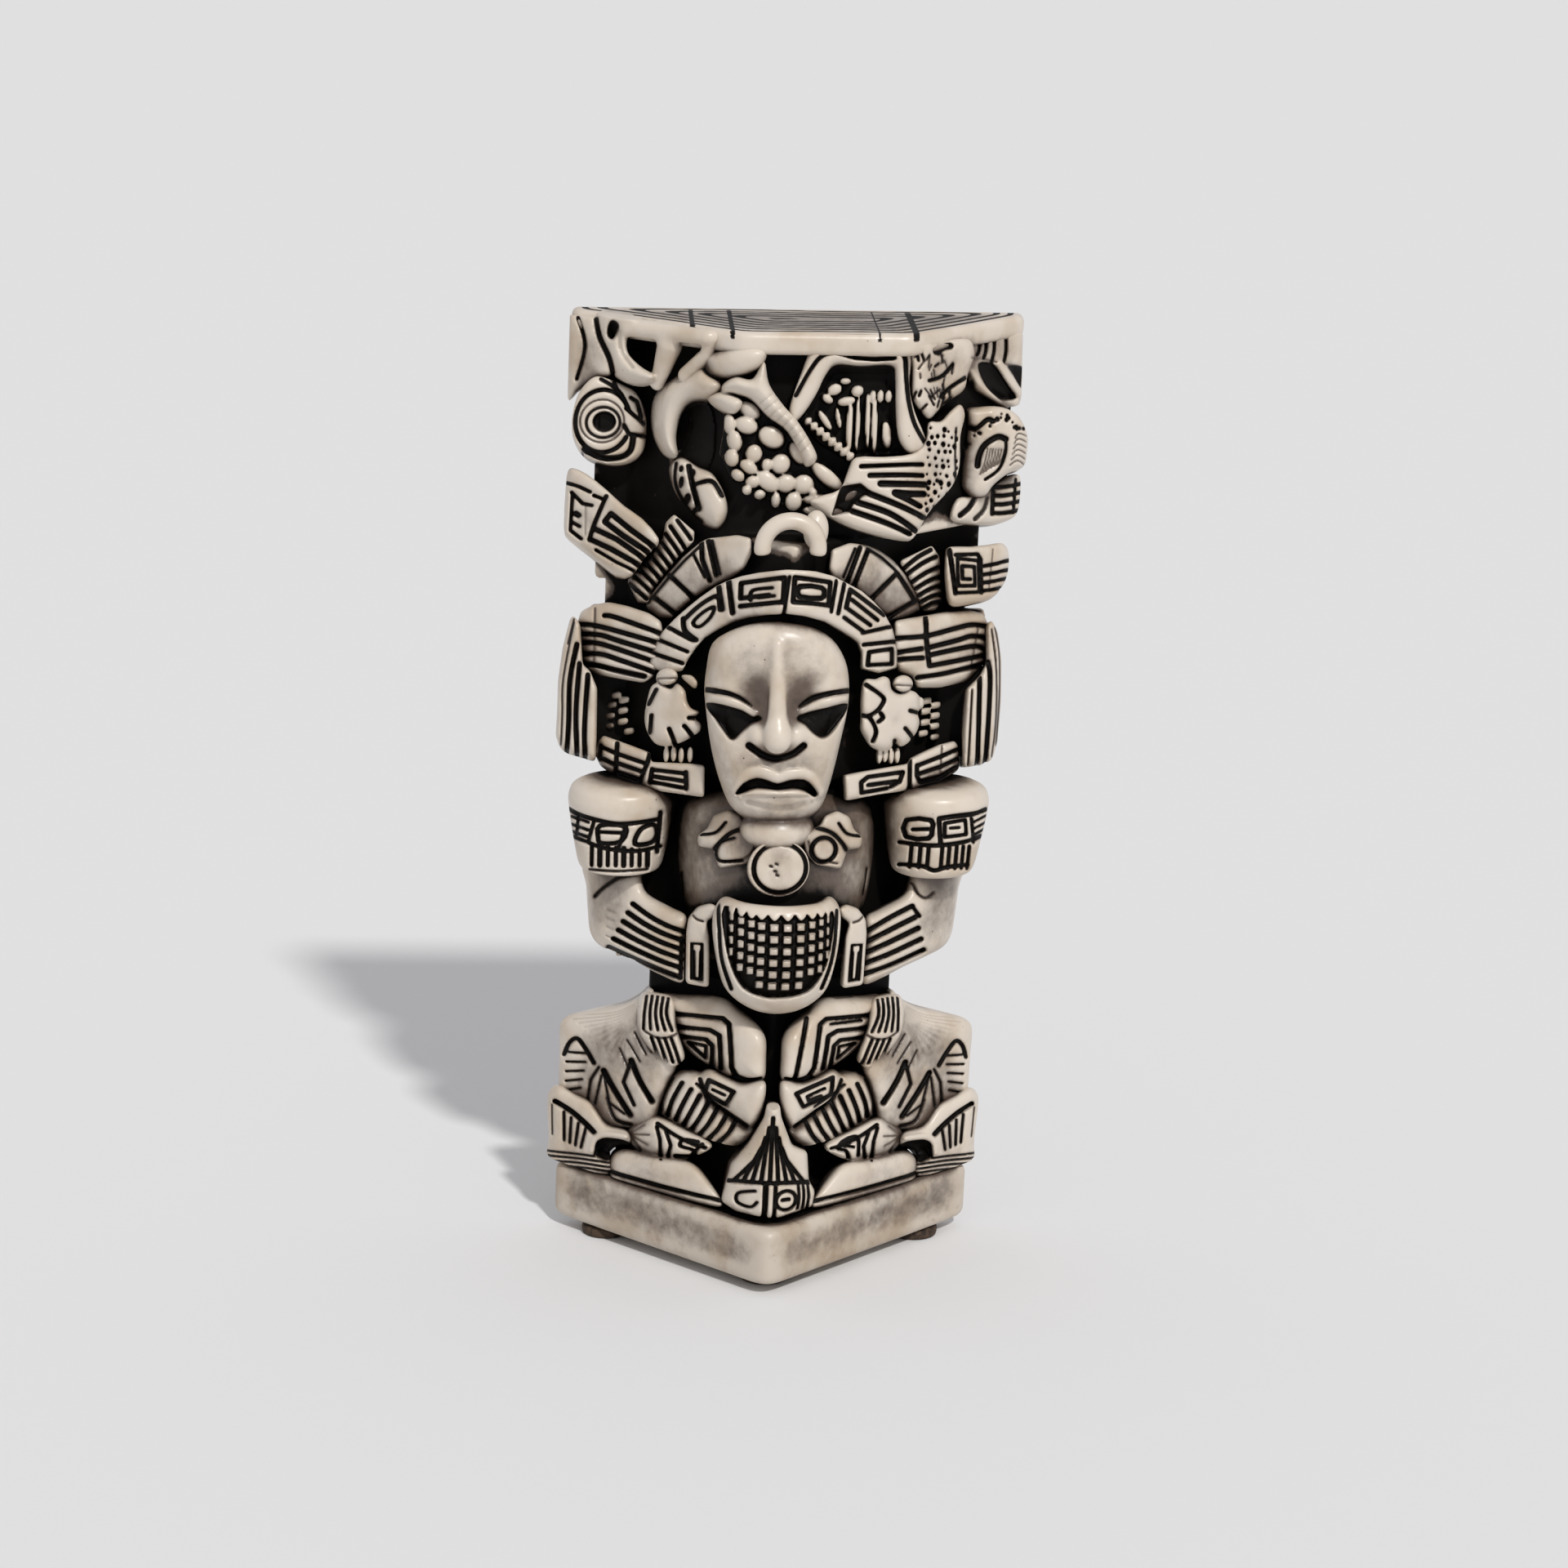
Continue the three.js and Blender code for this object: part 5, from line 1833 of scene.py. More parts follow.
    def right_comb(self) -> Clay:
        """Make the comb of feathers that spreads from the right rim."""
        shape = Outline([(29.6, 193.4), (39, 198.4), (41.4, 195.4), (42.8, 189.2), (43, 182.7),
                         (40.8, 179.8), (37, 179.6), (35.2, 184.1), (32.7, 188.7)], 0.8)
        sheet = sheet_over(shape)
        for start, end in (((31.1, 191.5), (38.6, 197)), ((32.3, 190), (40.4, 195.2)),
                           ((33.7, 187.8), (41.6, 192.4)), ((34.9, 186), (42.4, 189.8)),
                           ((35.8, 184.1), (42.8, 187.3)), ((36.5, 182.3), (42.8, 184.8)),
                           ((37.3, 180.6), (42.4, 182.6))):
            middle = ((start[0] + end[0]) / 2, (start[1] + end[1]) / 2 + 0.5)
            sheet.groove(curve([start, middle, end], steps=3), 1.15)
        sheet.softened(0.35)
        return applied("feather_comb_right", shape, 5, 16, sheet, 2.4)

    def loop(self) -> Clay:
        """Make the thick crescent loop over the headband and the leaf beside it."""

        def form(p: Points) -> Array:
            across, up = p.x + 1.4, p.z - 208.4
            ring = np.sqrt((np.sqrt(across * across + up * up) - 7.4) ** 2 + (p.f - 50.8) ** 2) - 2.3
            ring = smooth_max(ring, 207.4 - p.z - 0.12 * np.abs(across), 1.4)
            leaf = ball(p, (5.4, 46.6, 212.6), (3.4, 3.2, 5.4))
            return smooth_min(ring, leaf, 0.6)

        return Clay("loop_ornament", ("loop_ornament",), (-12, 42, 205), (10, 54, 219), form)


# ---- Crown ----


@dataclass
class Crown:
    """The crown's tangle of folds, beak, pebbles, window, fans and coils under the top slab."""

    slab_low: float = 258.8

    def build(self) -> list[Clay]:
        """Make every element of the crown.

        Returns:
            The elements.
        """
        return [self.slab(), self.disc(), self.folds(), self.beak(), self.lobe(), self.pebbles(),
                self.stalk(), self.window(), self.slats(), self.fan(), self.feathers(), self.coil(),
                self.stripes()]

    def slab(self) -> Clay:
        """Make the top slab, ruled with lines that run round it like tree rings."""
        plan = Outline([(-61.5, -8), (62.5, -8), (62.5, 6), (29.5, 43.6), (-16.5, 43.6), (-61.5, 6)], 4.0)

        def lines(p: Points) -> Array:
            side = plan.at(p.x, p.f)
            wave = 0.5 + 0.5 * np.cos(2 * math.pi * (side + 3.6 + 0.5 * np.sin(p.x * 0.11)) / 3.6)
            line = ramp(wave, 0.45, 0.75) * ramp(-side, 0.8, 1.6)
            for x, wide in ((-29.2, 0.8), (-18.6, 0.5), (20.4, 0.4), (30.2, 0.8)):
                line = np.maximum(line, (np.abs(p.x - x) < wide) * ramp(p.f, 2.0, 6.0))
            return line * ramp(p.z, HEIGHT - 2.4, HEIGHT - 1.6)

        def form(p: Points) -> Array:
            level = np.maximum(p.z - HEIGHT, self.slab_low - p.z)
            return smooth_max(plan.at(p.x, p.f), level, 2.4) + 0.1 * lines(p)

        return Clay("top_slab", ("top_slab",), (-61.5, 0, self.slab_low), (62.5, 44, HEIGHT), form,
                    wash=lines)

    def disc(self) -> Clay:
        """Make the ring disc: deep rings round a hole, and wedge blocks on its right rim."""
        shape = Outline(curve([(-60.6, 231.8), (-59.6, 238), (-57.4, 242), (-54.3, 244.3), (-50.2, 243.3),
                               (-46, 241.6), (-43.3, 239.9), (-40.9, 235.5), (-40, 229.9), (-41, 223.6),
                               (-44.8, 220.5), (-50.3, 220.1), (-56.2, 222.2), (-59.6, 226.7)], True, 4),
                               0.4)
        sheet = sheet_over(shape)
        hole = (-51.8, 231.6)
        sheet.area(arc(hole, (2.9, 2.6), 0, 350, 28), 3.4, 0.5)
        sheet.loop(arc((hole[0] - 0.3, hole[1] - 0.2), (4.6, 4.2), 0, 350, 32), 0.8, 0.9)
        sheet.loop(arc((hole[0] - 0.6, hole[1] + 0.2), (6.0, 5.9), 0, 350, 32), 0.6, 0.7)
        sheet.groove(arc((hole[0] - 0.4, hole[1] + 0.2), (7.5, 8.6), 30, 330, 40), 1.1, 1.3)
        sheet.groove(curve([(-57, 224), (-52, 221.8), (-47, 222), (-44.4, 224), (-43.8, 228)]), 1.5)
        sheet.grooves([curve([(-53, 243.4), (-48, 240), (-45, 234.6)]), [(-46, 235.4), (-41, 231.2)],
                       [(-46.4, 230.8), (-45, 228.4), (-40.4, 227.8)], [(-49.4, 242.6), (-48.2, 239.4)],
                       [(-44.8, 238.4), (-43, 237.4), (-41.8, 233)]], 1.0)
        sheet.softened(0.3)
        return applied("ring_disc", shape, 0, 40, sheet, 3.0,
                       lambda p, sunk: p.f + sunk - 17.5 + 0.1 * np.abs(p.x + 51))

    def folds(self) -> Clay:
        """Make the draped cloth at the top left: a roll, two uprights and hanging corners."""
        fold = Outline(curve([(-55.6, 260), (-52.6, 263.4), (-45.8, 262.4), (-43.6, 258.2), (-46, 255.1),
                              (-46, 250.5), (-42.6, 246.5), (-38.6, 243.4), (-40.3, 241.4), (-45.8, 242.2),
                              (-50.4, 245.3), (-52.2, 249.7), (-54.2, 255.1)], True, 4), 0.4)
        panel = Outline([(-63, 262.4), (-55, 261), (-53, 255.1), (-50.6, 249.3), (-49.6, 244.6),
                         (-54.1, 243.8), (-59.2, 241.2), (-62, 237.4)], 1.4)
        sheet = Sheet((-66, 234), (-18, 268))
        sheet.groove(curve([(-54.8, 260), (-53.6, 255), (-51, 249.4), (-49.8, 245)]), 1.2)
        sheet.groove(curve([(-59.8, 261), (-57.6, 253), (-59.6, 244)]), 0.9)
        sheet.area(curve([(-51.4, 257.6), (-50.4, 259), (-48.8, 257.4), (-50, 254), (-51.4, 255)], True, 3),
                   1.8, 0.6)
        sheet.groove(curve([(-48.6, 256), (-47.8, 251), (-44.6, 246)]), 1.4, 0.3)
        sheet.softened(0.4)

        def form(p: Points) -> Array:
            block = joined(tile(panel, -2.4, 40, 2.6), tile(fold, -4.6, 12, 4.5), reach=0.6)(p)
            roll = rod(p, (-45.5, 20.5, 262.4), (-25.3, 37.4, 262.6), 2.5, 2.1)
            post = rod(p, (-34.8, 27.5, 259.2), (-37.8, 22.5, 247.6), 3.5, 1.9)
            tuck = np.minimum(rod(p, (-24, 37.4, 262.6), (-25.1, 35, 257.8), 1.9),
                              rod(p, (-25.1, 35, 257.8), (-30, 29, 251), 1.9, 2.5))
            return smooth_min(smooth_min(block, smooth_min(roll, post, 2.0), 1.0), tuck, 1.0)

        return Clay("drape_folds", ("drape_folds",), (-62, 0, 238), (-20, 41, HEIGHT), form, sheet)

    def beak(self) -> Clay:
        """Make the great hooked hood over its hollow, with the leaf on its brow."""
        hood = Outline(curve([(-38, 239.7), (-33.6, 243.4), (-26.5, 247), (-22.2, 243), (-20.6, 239.5),
                              (-24, 236.4), (-28.6, 236), (-31.2, 232.8), (-32.2, 227), (-31.6, 221.4),
                              (-35.4, 222.6), (-38.4, 228.1), (-39.2, 234.3)], True, 4), 0.4)
        leaf = Outline(curve([(-27.2, 248.2), (-20.7, 250), (-13.2, 250.4), (-9.3, 248.6), (-11.4, 244.4),
                              (-17.4, 242.2), (-23.4, 243)], True, 4), 0.4)
        rim = Outline(curve([(-33.6, 222.6), (-31, 224), (-29, 230), (-29.4, 235.6), (-24.4, 236.4),
                             (-22, 230), (-22.4, 220), (-27, 214.6), (-32.6, 217)], True, 4), 0.4)
        sheet = Sheet((-42, 212), (-6, 254))
        sheet.groove(curve([(-26.8, 246.6), (-24.6, 243.4), (-21, 241.4)]), 1.0, 1.0)
        sheet.area(curve([(-32, 221), (-30, 226), (-29.6, 235), (-24, 236), (-20, 230), (-21, 218),
                          (-27, 213), (-33, 216)], True, 4), 2.0)
        sheet.softened(0.4)
        form = joined(tile(hood, -2.6, 12, 7.0, crown_front), tile(leaf, -2.0, 9, 4.5, crown_front),
                      tile(rim, 7.0, 3, 2.0, crown_front), reach=0.8)
        return Clay("hooked_beak", ("hooked_beak",), (-40, 8, 218), (-8.8, 46.8, 262), form, sheet)

    def lobe(self) -> Clay:
        """Make the mottled lobes that hang under the hood's hollow."""
        shape = Outline(curve([(-33.8, 219.6), (-30.6, 222), (-26, 219), (-22, 216.8), (-18.8, 211.2),
                               (-17.8, 205.8), (-20.2, 201.3), (-24.8, 203), (-29, 207.6), (-32.4, 213.1)],
                              True, 4), 0.5)
        sheet = sheet_over(shape)
        for at, radii in (((-30.4, 214.6), (0.7, 1.6)), ((-28.6, 210), (0.9, 1.5)),
                          ((-30.6, 218.2), (0.6, 1.0)), ((-26.6, 206.6), (0.6, 0.9)),
                          ((-27.4, 217), (0.6, 1.1))):
            sheet.area(arc(at, radii, 0, 350, 14), 1.1, 0.3)
        sheet.groove(curve([(-32, 220), (-31.8, 214), (-28, 207), (-24.6, 203.6)]), 0.8)
        sheet.groove(curve([(-28.6, 219), (-27.4, 213.4), (-25.4, 207)]), 1.4)
        sheet.groove(curve([(-27, 213.6), (-22.4, 214.4), (-19.6, 210.4)]), 1.2)
        sheet.softened(0.4)
        return applied("mottled_lobe", shape, 2.5, 15, sheet, 6.0, crown_front)

    def pebbles(self) -> Clay:
        """Make the field of river pebbles and rods between the beak and the fan."""
        shape = Outline([(-20, 239), (-15.6, 237), (-12, 240), (-6, 234), (-1, 228.6), (3, 225), (6, 219),
                         (12, 214), (16.4, 212.6), (13.6, 205), (4, 204.6), (-2, 206), (-9, 209), (-17, 214),
                         (-20.6, 222), (-19.6, 230)], 1.2)
        sheet = sheet_over(shape)
        sheet.area([(-24, 200), (20, 200), (20, 244), (-24, 244)], 2.6)
        stones = (((-13.3, 233.4), (3.1, 1.9), -35), ((-14, 229.4), (3.1, 2.2), -20),
                  ((-7.1, 226.2), (3.5, 2.7), -30), ((-11.6, 221.6), (2.1, 2.4), 0),
                  ((-4.4, 218.9), (2.5, 2.7), -20), ((-16.9, 225.2), (1.8, 2.8), 15),
                  ((-12.8, 218), (2.6, 1.6), -35), ((-7.6, 214.2), (3.5, 2.3), -38),
                  ((-11.6, 214), (1.8, 1.6), 0), ((-2.7, 213.7), (2.6, 2.4), 0),
                  ((-0.4, 208.9), (2.1, 2.4), 0), ((-5.2, 209.2), (1.1, 2.0), 0),
                  ((2.0, 213.4), (2.7, 2.6), -30), ((8.4, 215.6), (5.2, 1.9), -40),
                  ((0.2, 222), (1.9, 3.2), 35), ((6.9, 209.2), (4.7, 1.5), -3), ((8, 206.2), (5.4, 1.5), -4),
                  ((14.6, 210.5), (3.3, 1.7), 24), ((-17.4, 220.6), (1.7, 2.3), 20),
                  ((-15.6, 215.8), (1.9, 1.3), -40), ((-18.4, 229.8), (1.5, 2.7), 10),
                  ((-8, 218.6), (1.5, 1.7), 0), ((4.6, 211.2), (1.1, 1.3), 0),
                  ((16.9, 214.8), (2.2, 1.8), 0), ((-9.6, 210.6), (1.4, 1.2), 0),
                  ((-13.2, 211.6), (1.3, 1.4), 0))
        crowding = 1.12  # how much wider each stone is than its bed, so that they nearly touch
        for middle, radii, turn in stones:
            sheet.bump(middle, (radii[0] * crowding, radii[1] * crowding), turn, 2.2)
        return applied("pebble_field", shape, 4.5, 10, sheet, 1.5, crown_front)

    def stalk(self) -> Clay:
        """Make the knuckled, forked rod that slants across the pebbles."""
        shape = Outline(curve([(-20.8, 240.4), (-17.4, 242.4), (-13, 241.6), (-10, 246.4), (-8.4, 240.2),
                               (-4.2, 234.4), (-0.6, 230.6), (3.6, 224.3), (5.2, 220.2), (2.4, 218.2),
                               (0.2, 222.4), (-3.2, 227.8), (-8.4, 231.6), (-13.1, 236.1), (-17.4, 237.6),
                               (-20.6, 238.2)],
                              True, 4), 0.4)
        branch = Outline(curve([(-24.8, 237), (-21, 238.6), (-15.2, 235.8), (-16.8, 232.5), (-20.2, 233)],
                               True, 4),
                         0.4)
        sheet = Sheet((-28, 214), (9, 250))
        for i in range(9):
            u, v = -8.6 + 1.25 * i, 237.4 - 1.75 * i
            sheet.groove(curve([(u - 2.2, v - 2.6), (u + 0.6, v - 0.4), (u + 2.4, v + 2.2)]), 0.6, 0.3)
        sheet.softened(0.2)
        form = joined(tile(shape, -2.6, 8, 5.0, crown_front), tile(branch, -0.6, 8, 4.0, crown_front),
                      reach=0.6)
        return Clay("knuckled_rod", ("knuckled_rod",), (-25.4, 32, 226), (8.4, 46.6, 260), form, sheet)

    def window(self) -> Clay:
        """Make the window's double frame, bent round its hollow."""
        shape = Outline(curve([(-2.8, 233), (-1.6, 238.2), (0.4, 244.4), (2.2, 250), (4.7, 253.6),
                               (16, 253.8), (27, 253.4), (29.4, 249), (29.2, 240.6), (31, 233.6), (35, 225),
                               (30.6, 222), (27, 226), (25.8, 234), (25.2, 243), (23.8, 245.8), (16, 245.6),
                               (9.4, 245.8), (6.6, 243), (4.4, 238), (1.5, 233), (-1.6, 229.8)], True, 4),
                               0.4)
        sheet = sheet_over(shape)
        sheet.groove(curve([(-1.2, 237.2), (2.6, 244.4), (5.2, 247.7), (8.8, 248.8), (13.8, 247.6),
                            (19, 247.3), (24.6, 247.6)]), 1.0)
        sheet.groove(curve([(2.6, 249.9), (4.7, 251.8), (9, 251.4), (18.2, 250), (24.9, 250.4),
                            (27.3, 247.8), (28, 243), (29.1, 236), (31, 230), (34, 225.6)]), 1.2)
        sheet.softened(0.3)
        return applied("window_frame", shape, 0, 9, sheet, 3.0, crown_front)

    def slats(self) -> Clay:
        """Make what fills the window: slats, a lens and a crossed lattice."""
        shape = Outline([(-0.6, 231), (4.4, 240), (8, 246.4), (26, 246.4), (26.6, 232), (30.6, 221.4),
                         (14, 219.6), (6, 224)], 0.8)
        sheet = sheet_over(shape)
        sheet.area([(-4, 216), (34, 216), (34, 250), (-4, 250)], 2.8)
        for middle, radii, turn in (((13.7, 229), (0.95, 8), 0), ((15.8, 230), (0.7, 8), 0),
                                    ((18.5, 231), (0.8, 8), 2), ((20.3, 230), (0.95, 8.6), 2),
                                    ((23.7, 227.2), (1.5, 4), 8), ((9.2, 239.3), (2.2, 1.7), 20),
                                    ((15.4, 239), (1.8, 1.6), 20), ((12.6, 236.2), (2.6, 1.3), 10),
                                    ((7.4, 236.8), (1.9, 1.2), -35), ((12, 241.6), (1.6, 0.9), 0),
                                    ((19.6, 237.4), (1, 2), 0), ((21.6, 237.6), (1, 1.9), 0),
                                    ((23.8, 237.6), (1.1, 1.9), 0), ((7, 231), (1, 3.4), 35),
                                    ((10.6, 231.6), (0.7, 3), 12)):
            sheet.bump(middle, radii, turn, 1.6)
        for i in range(8):
            sheet.bump((2.4 + 1.7 * i, 230.6 - 1.35 * i), (1.15, 1.5), -40, 2.2)
        # the slats take the near-black finish of deep recesses: heavy wash with painted shade
        return applied("slat_panel", shape, 5, 6, sheet, 1.2, crown_front, Finish.WASH)

    def fan(self) -> Clay:
        """Make the ribbed fan of fingers with a pitted net on its edge."""
        shape = Outline(curve([(4, 208), (11.8, 203), (20, 200.2), (29.9, 198.5), (32.8, 199.8), (35.6, 205),
                               (37.8, 208.2), (43, 214.3), (44.8, 220), (44.6, 228), (45.6, 234),
                               (44, 236.8), (41, 234.4), (38.5, 231.6), (35, 231), (34.4, 226),
                               (30.4, 222.1), (23, 221), (15.6, 220.8), (13.6, 217), (11.6, 212), (6, 210)],
                               True, 3), 0.4)
        sheet = sheet_over(shape)
        for start, middle, end, wide in (
                ((17, 218.2), (25, 218.6), (33.6, 219.2), 1.1),
                ((19.4, 215.8), (26, 216), (33.8, 216.2), 1.2),
                ((22.4, 213.6), (28, 213.6), (34.6, 213.8), 1.6),
                ((26.4, 211.2), (30, 211), (34.4, 211.2), 1.7),
                ((26.7, 210.8), (30, 209.4), (33.5, 207.8), 1.5), ((19.1, 211), (27, 208), (34.4, 205), 1.5),
                ((16.5, 208.4), (25, 205.6), (32.6, 201.2), 1.5),
                ((15.2, 206), (23, 203.4), (31, 200.2), 1.4)):
            sheet.groove(curve([start, middle, end]), wide, 1.5)
        sheet.area([(12, 212.6), (17, 213.4), (19.6, 211.4), (15.6, 208.6), (14, 205.8), (10, 205)], 2.4,
                   0.5)
        rng = np.random.default_rng(7)
        for row in range(13):
            for column in range(5):
                u = 35.2 + 2.0 * column + rng.uniform(-0.5, 0.5) + 0.5 * (row % 2)
                v = 204.6 + 2.05 * row + 1.2 * column * (row < 5) + rng.uniform(-0.4, 0.4)
                if u < 44.0 and v < 229.4:
                    size = rng.uniform(0.35, 0.8)
                    sheet.area(arc((u, v), (size * 0.8, size), 0, 320, 9), 1.3, 0.25)
        sheet.groove(curve([(44, 214.6), (43.2, 222), (43, 230)]), 0.7, 0.8)
        sheet.softened(0.25)
        return applied("finger_fan", shape, -0.5, 9, sheet, 2.6, crown_front)

    def feathers(self) -> Clay:
        """Make the leafy fan beside the window and the drape of petals above the coil."""
        leafy = Outline(curve([(28.9, 252.6), (36, 252.8), (41, 254.4), (46, 254.6), (47.6, 250.8),
                               (45.9, 245.2), (45.1, 241.1), (41.6, 238.1), (37.7, 234.4), (35.3, 232),
                               (33, 233.6), (30.2, 237.3), (29.6, 245)], True, 4), 0.5)
        petals = Outline(curve([(45, 254.4), (52, 257.4), (58, 259), (62, 260), (62.6, 252), (62.8, 240.4),
                                (60, 237), (52, 240), (47.4, 242.6), (46, 248)], True, 4), 0.6)
        sheet = Sheet((26, 229), (66, 264))
        rng = np.random.default_rng(11)
        for _ in range(46):
            u, v = rng.uniform(30, 44), rng.uniform(234, 252)
            turn = rng.uniform(0.6, 2.4)
            size = rng.uniform(0.7, 1.7)
            if v < 250 + (u - 36) * 0.2:
                ends = [(u - size * math.cos(turn), v - size * math.sin(turn)),
                        (u + size * math.cos(turn), v + size * math.sin(turn))]
                sheet.groove(ends, rng.uniform(0.35, 0.8), 0.9)
        sheet.groove(curve([(34.4, 242), (38, 243.6), (41, 247)]), 0.9)
        sheet.groove(curve([(36, 250), (38.4, 251.6), (40, 252)]), 1.8, 1.2)
        sheet.groove(curve([(38, 238), (40.4, 240.6), (45, 244)]), 1.0)
        for u, low in ((48.6, 251), (50.6, 250.4), (53, 249.4), (56.6, 249.4)):
            sheet.groove(curve([(u + 0.3, 258.4), (u + 0.6, 253), (u, low)]), 0.8)
        sheet.groove(curve([(46.6, 249.6), (50, 250.2), (56, 249.6), (62, 249.4)]), 0.6, 0.6)
        sheet.area(curve([(49.2, 248.6), (53.6, 249), (57.6, 245), (61, 240.6), (56, 240), (51.4, 243.4)],
                         True, 3), 1.7)
        sheet.area([(58, 249), (62.6, 249.4), (62.4, 243.6)], 1.5)
        sheet.area(curve([(47.6, 244.4), (49, 241.2), (54, 238.6), (50, 238), (46, 240)], True, 3), 1.8)
        sheet.ridge(curve([(47.4, 246.2), (51.6, 241.6), (58.6, 237)]), 2.0, 0.5)
        sheet.ridge(curve([(55.8, 249), (59.4, 244.6), (62.8, 241.4)]), 2.4, 0.5)
        sheet.softened(0.3)
        form = joined(tile(leafy, -0.5, 10, 3.0, crown_front), tile(petals, -2.6, 30, 3.0), reach=1.0)
        return Clay("feather_fan", ("feather_fan",), (28.4, 0, 240), (63, 45, 262), form, sheet)

    def coil(self) -> Clay:
        """Make the pitted coil round its oval recess."""
        shape = Outline(curve([(46, 236.2), (50.2, 237.2), (56.9, 237.2), (61.5, 234.8), (64.2, 230),
                               (64.4, 225.3), (63.6, 221), (59.4, 219), (55.4, 215.6), (53.2, 212.6),
                               (49.4, 211.8), (45.7, 214.5), (45, 218.8), (45.6, 224.4), (46.2, 230.4)],
                               True, 4),
                        0.4)
        sheet = sheet_over(shape)
        sheet.groove(curve([(50.3, 220.6), (50.6, 223.4), (52, 226.4), (55.4, 228.7), (57.8, 228.2)]), 1.5)
        sheet.groove(curve([(57.8, 228), (57.9, 224.4), (56.3, 219.8), (52.6, 216.8)]), 0.7)
        rng = np.random.default_rng(5)
        for i in range(26):
            share = i / 25
            u = 46.6 + 15.8 * share + rng.uniform(-0.5, 0.5)
            v = 226 + 8 * math.sin(share * 2.6) + rng.uniform(-1.3, 1.3)
            size = rng.uniform(0.25, 0.6)
            sheet.area(arc((u, v), (size, size * 1.2), 0, 320, 9), 1.1, 0.25)
        for i in range(7):
            u = 51.8 + 0.8 * i
            sheet.groove(curve([(u - 0.8, 218 + 0.5 * i), (u + 0.4, 221.6 + 0.2 * i), (u + 1.0, 225.4)]),
                         0.45, 0.7)
        for i in range(6):
            sheet.groove(curve([(59.4 + 0.2 * i, 221 + 1.5 * i), (61.4, 222.4 + 1.5 * i),
                                (63.8, 221.4 + 1.6 * i)]), 0.5, 0.6)
        sheet.groove(curve([(47.6, 231.2), (49.6, 231), (52.4, 233.4), (54, 233)]), 1.2)
        sheet.groove(curve([(46.2, 235.6), (46.6, 231), (45.8, 226)]), 0.9)
        sheet.softened(0.3)
        return applied("rope_coil", shape, 0, 40, sheet, 4.5,
                       lambda p, sunk: p.f + sunk - 20 + 0.35 * np.maximum(np.abs(p.x - 50.4) - 3, 0.0))

    def stripes(self) -> Clay:
        """Make the striped block under the coil."""
        shape = Outline(curve([(43.4, 205.6), (49, 204.6), (55.2, 204.8), (59.2, 205.8), (62.8, 207.6),
                               (64, 210.6), (64.2, 217), (63, 219.6), (58.6, 218.4), (54.6, 215),
                               (50, 212.4), (45, 211.4)], True, 3), 0.6)
        sheet = sheet_over(shape)
        for i in range(4):
            v = 207.9 + 2.45 * i
            sheet.groove([(55.8 - 0.1 * i, v), (58.6, v + 0.2), (61.9, v + 0.9)], 1.15)
            sheet.groove([(62.6, v + 1.2), (64.4, v + 1.8)], 1.0)
        sheet.groove([(55.6, 207.6), (55.6, 215.4)], 1.1).groove([(62.2, 208.6), (62.3, 218)], 0.8)
        sheet.groove(curve([(46, 206.6), (48.6, 209), (50, 211.6)]), 1.5, 0.9)
        sheet.groove(curve([(50.6, 206), (53, 208.6), (54, 212)]), 1.4, 0.7)
        sheet.softened(0.3)
        return applied("stripe_block", shape, -3, 40, sheet, 2.8)


# ---- Finishes ----


def shade(text: str) -> tuple[float, float, float, float]:
    """A linear colour from an sRGB hex string.

    Args:
        text: Six hex digits after a hash.

    Returns:
        Linear red, green and blue, and a full alpha.
    """
    parts = [int(text[i:i + 2], 16) / 255 for i in (1, 3, 5)]
    linear = [p / 12.92 if p <= 0.04045 else ((p + 0.055) / 1.055) ** 2.4 for p in parts]
    return linear[0], linear[1], linear[2], 1.0


def add_node(tree: bpy.types.NodeTree, kind: str, settings: dict[str, object] | None = None,
             **sockets: object) -> bpy.types.Node:
    """Add a node, set its options and fill its sockets.

    Args:
        tree: The node tree.
        kind: The node's type.
        settings: Options to set on the node itself.
        **sockets: Values, or output sockets to link, by socket name with spaces as underscores, or
            by place as in_0.

    Returns:
        The node.
    """
    made = tree.nodes.new(kind)
    for key, value in (settings or {}).items():
        setattr(made, key, value)
    for key, value in sockets.items():
        place = int(key[3:]) if key.startswith("in_") else key.replace("_", " ")
        if isinstance(value, bpy.types.NodeSocket):
            tree.links.new(value, made.inputs[place])
        else:
            made.inputs[place].default_value = value
    return made


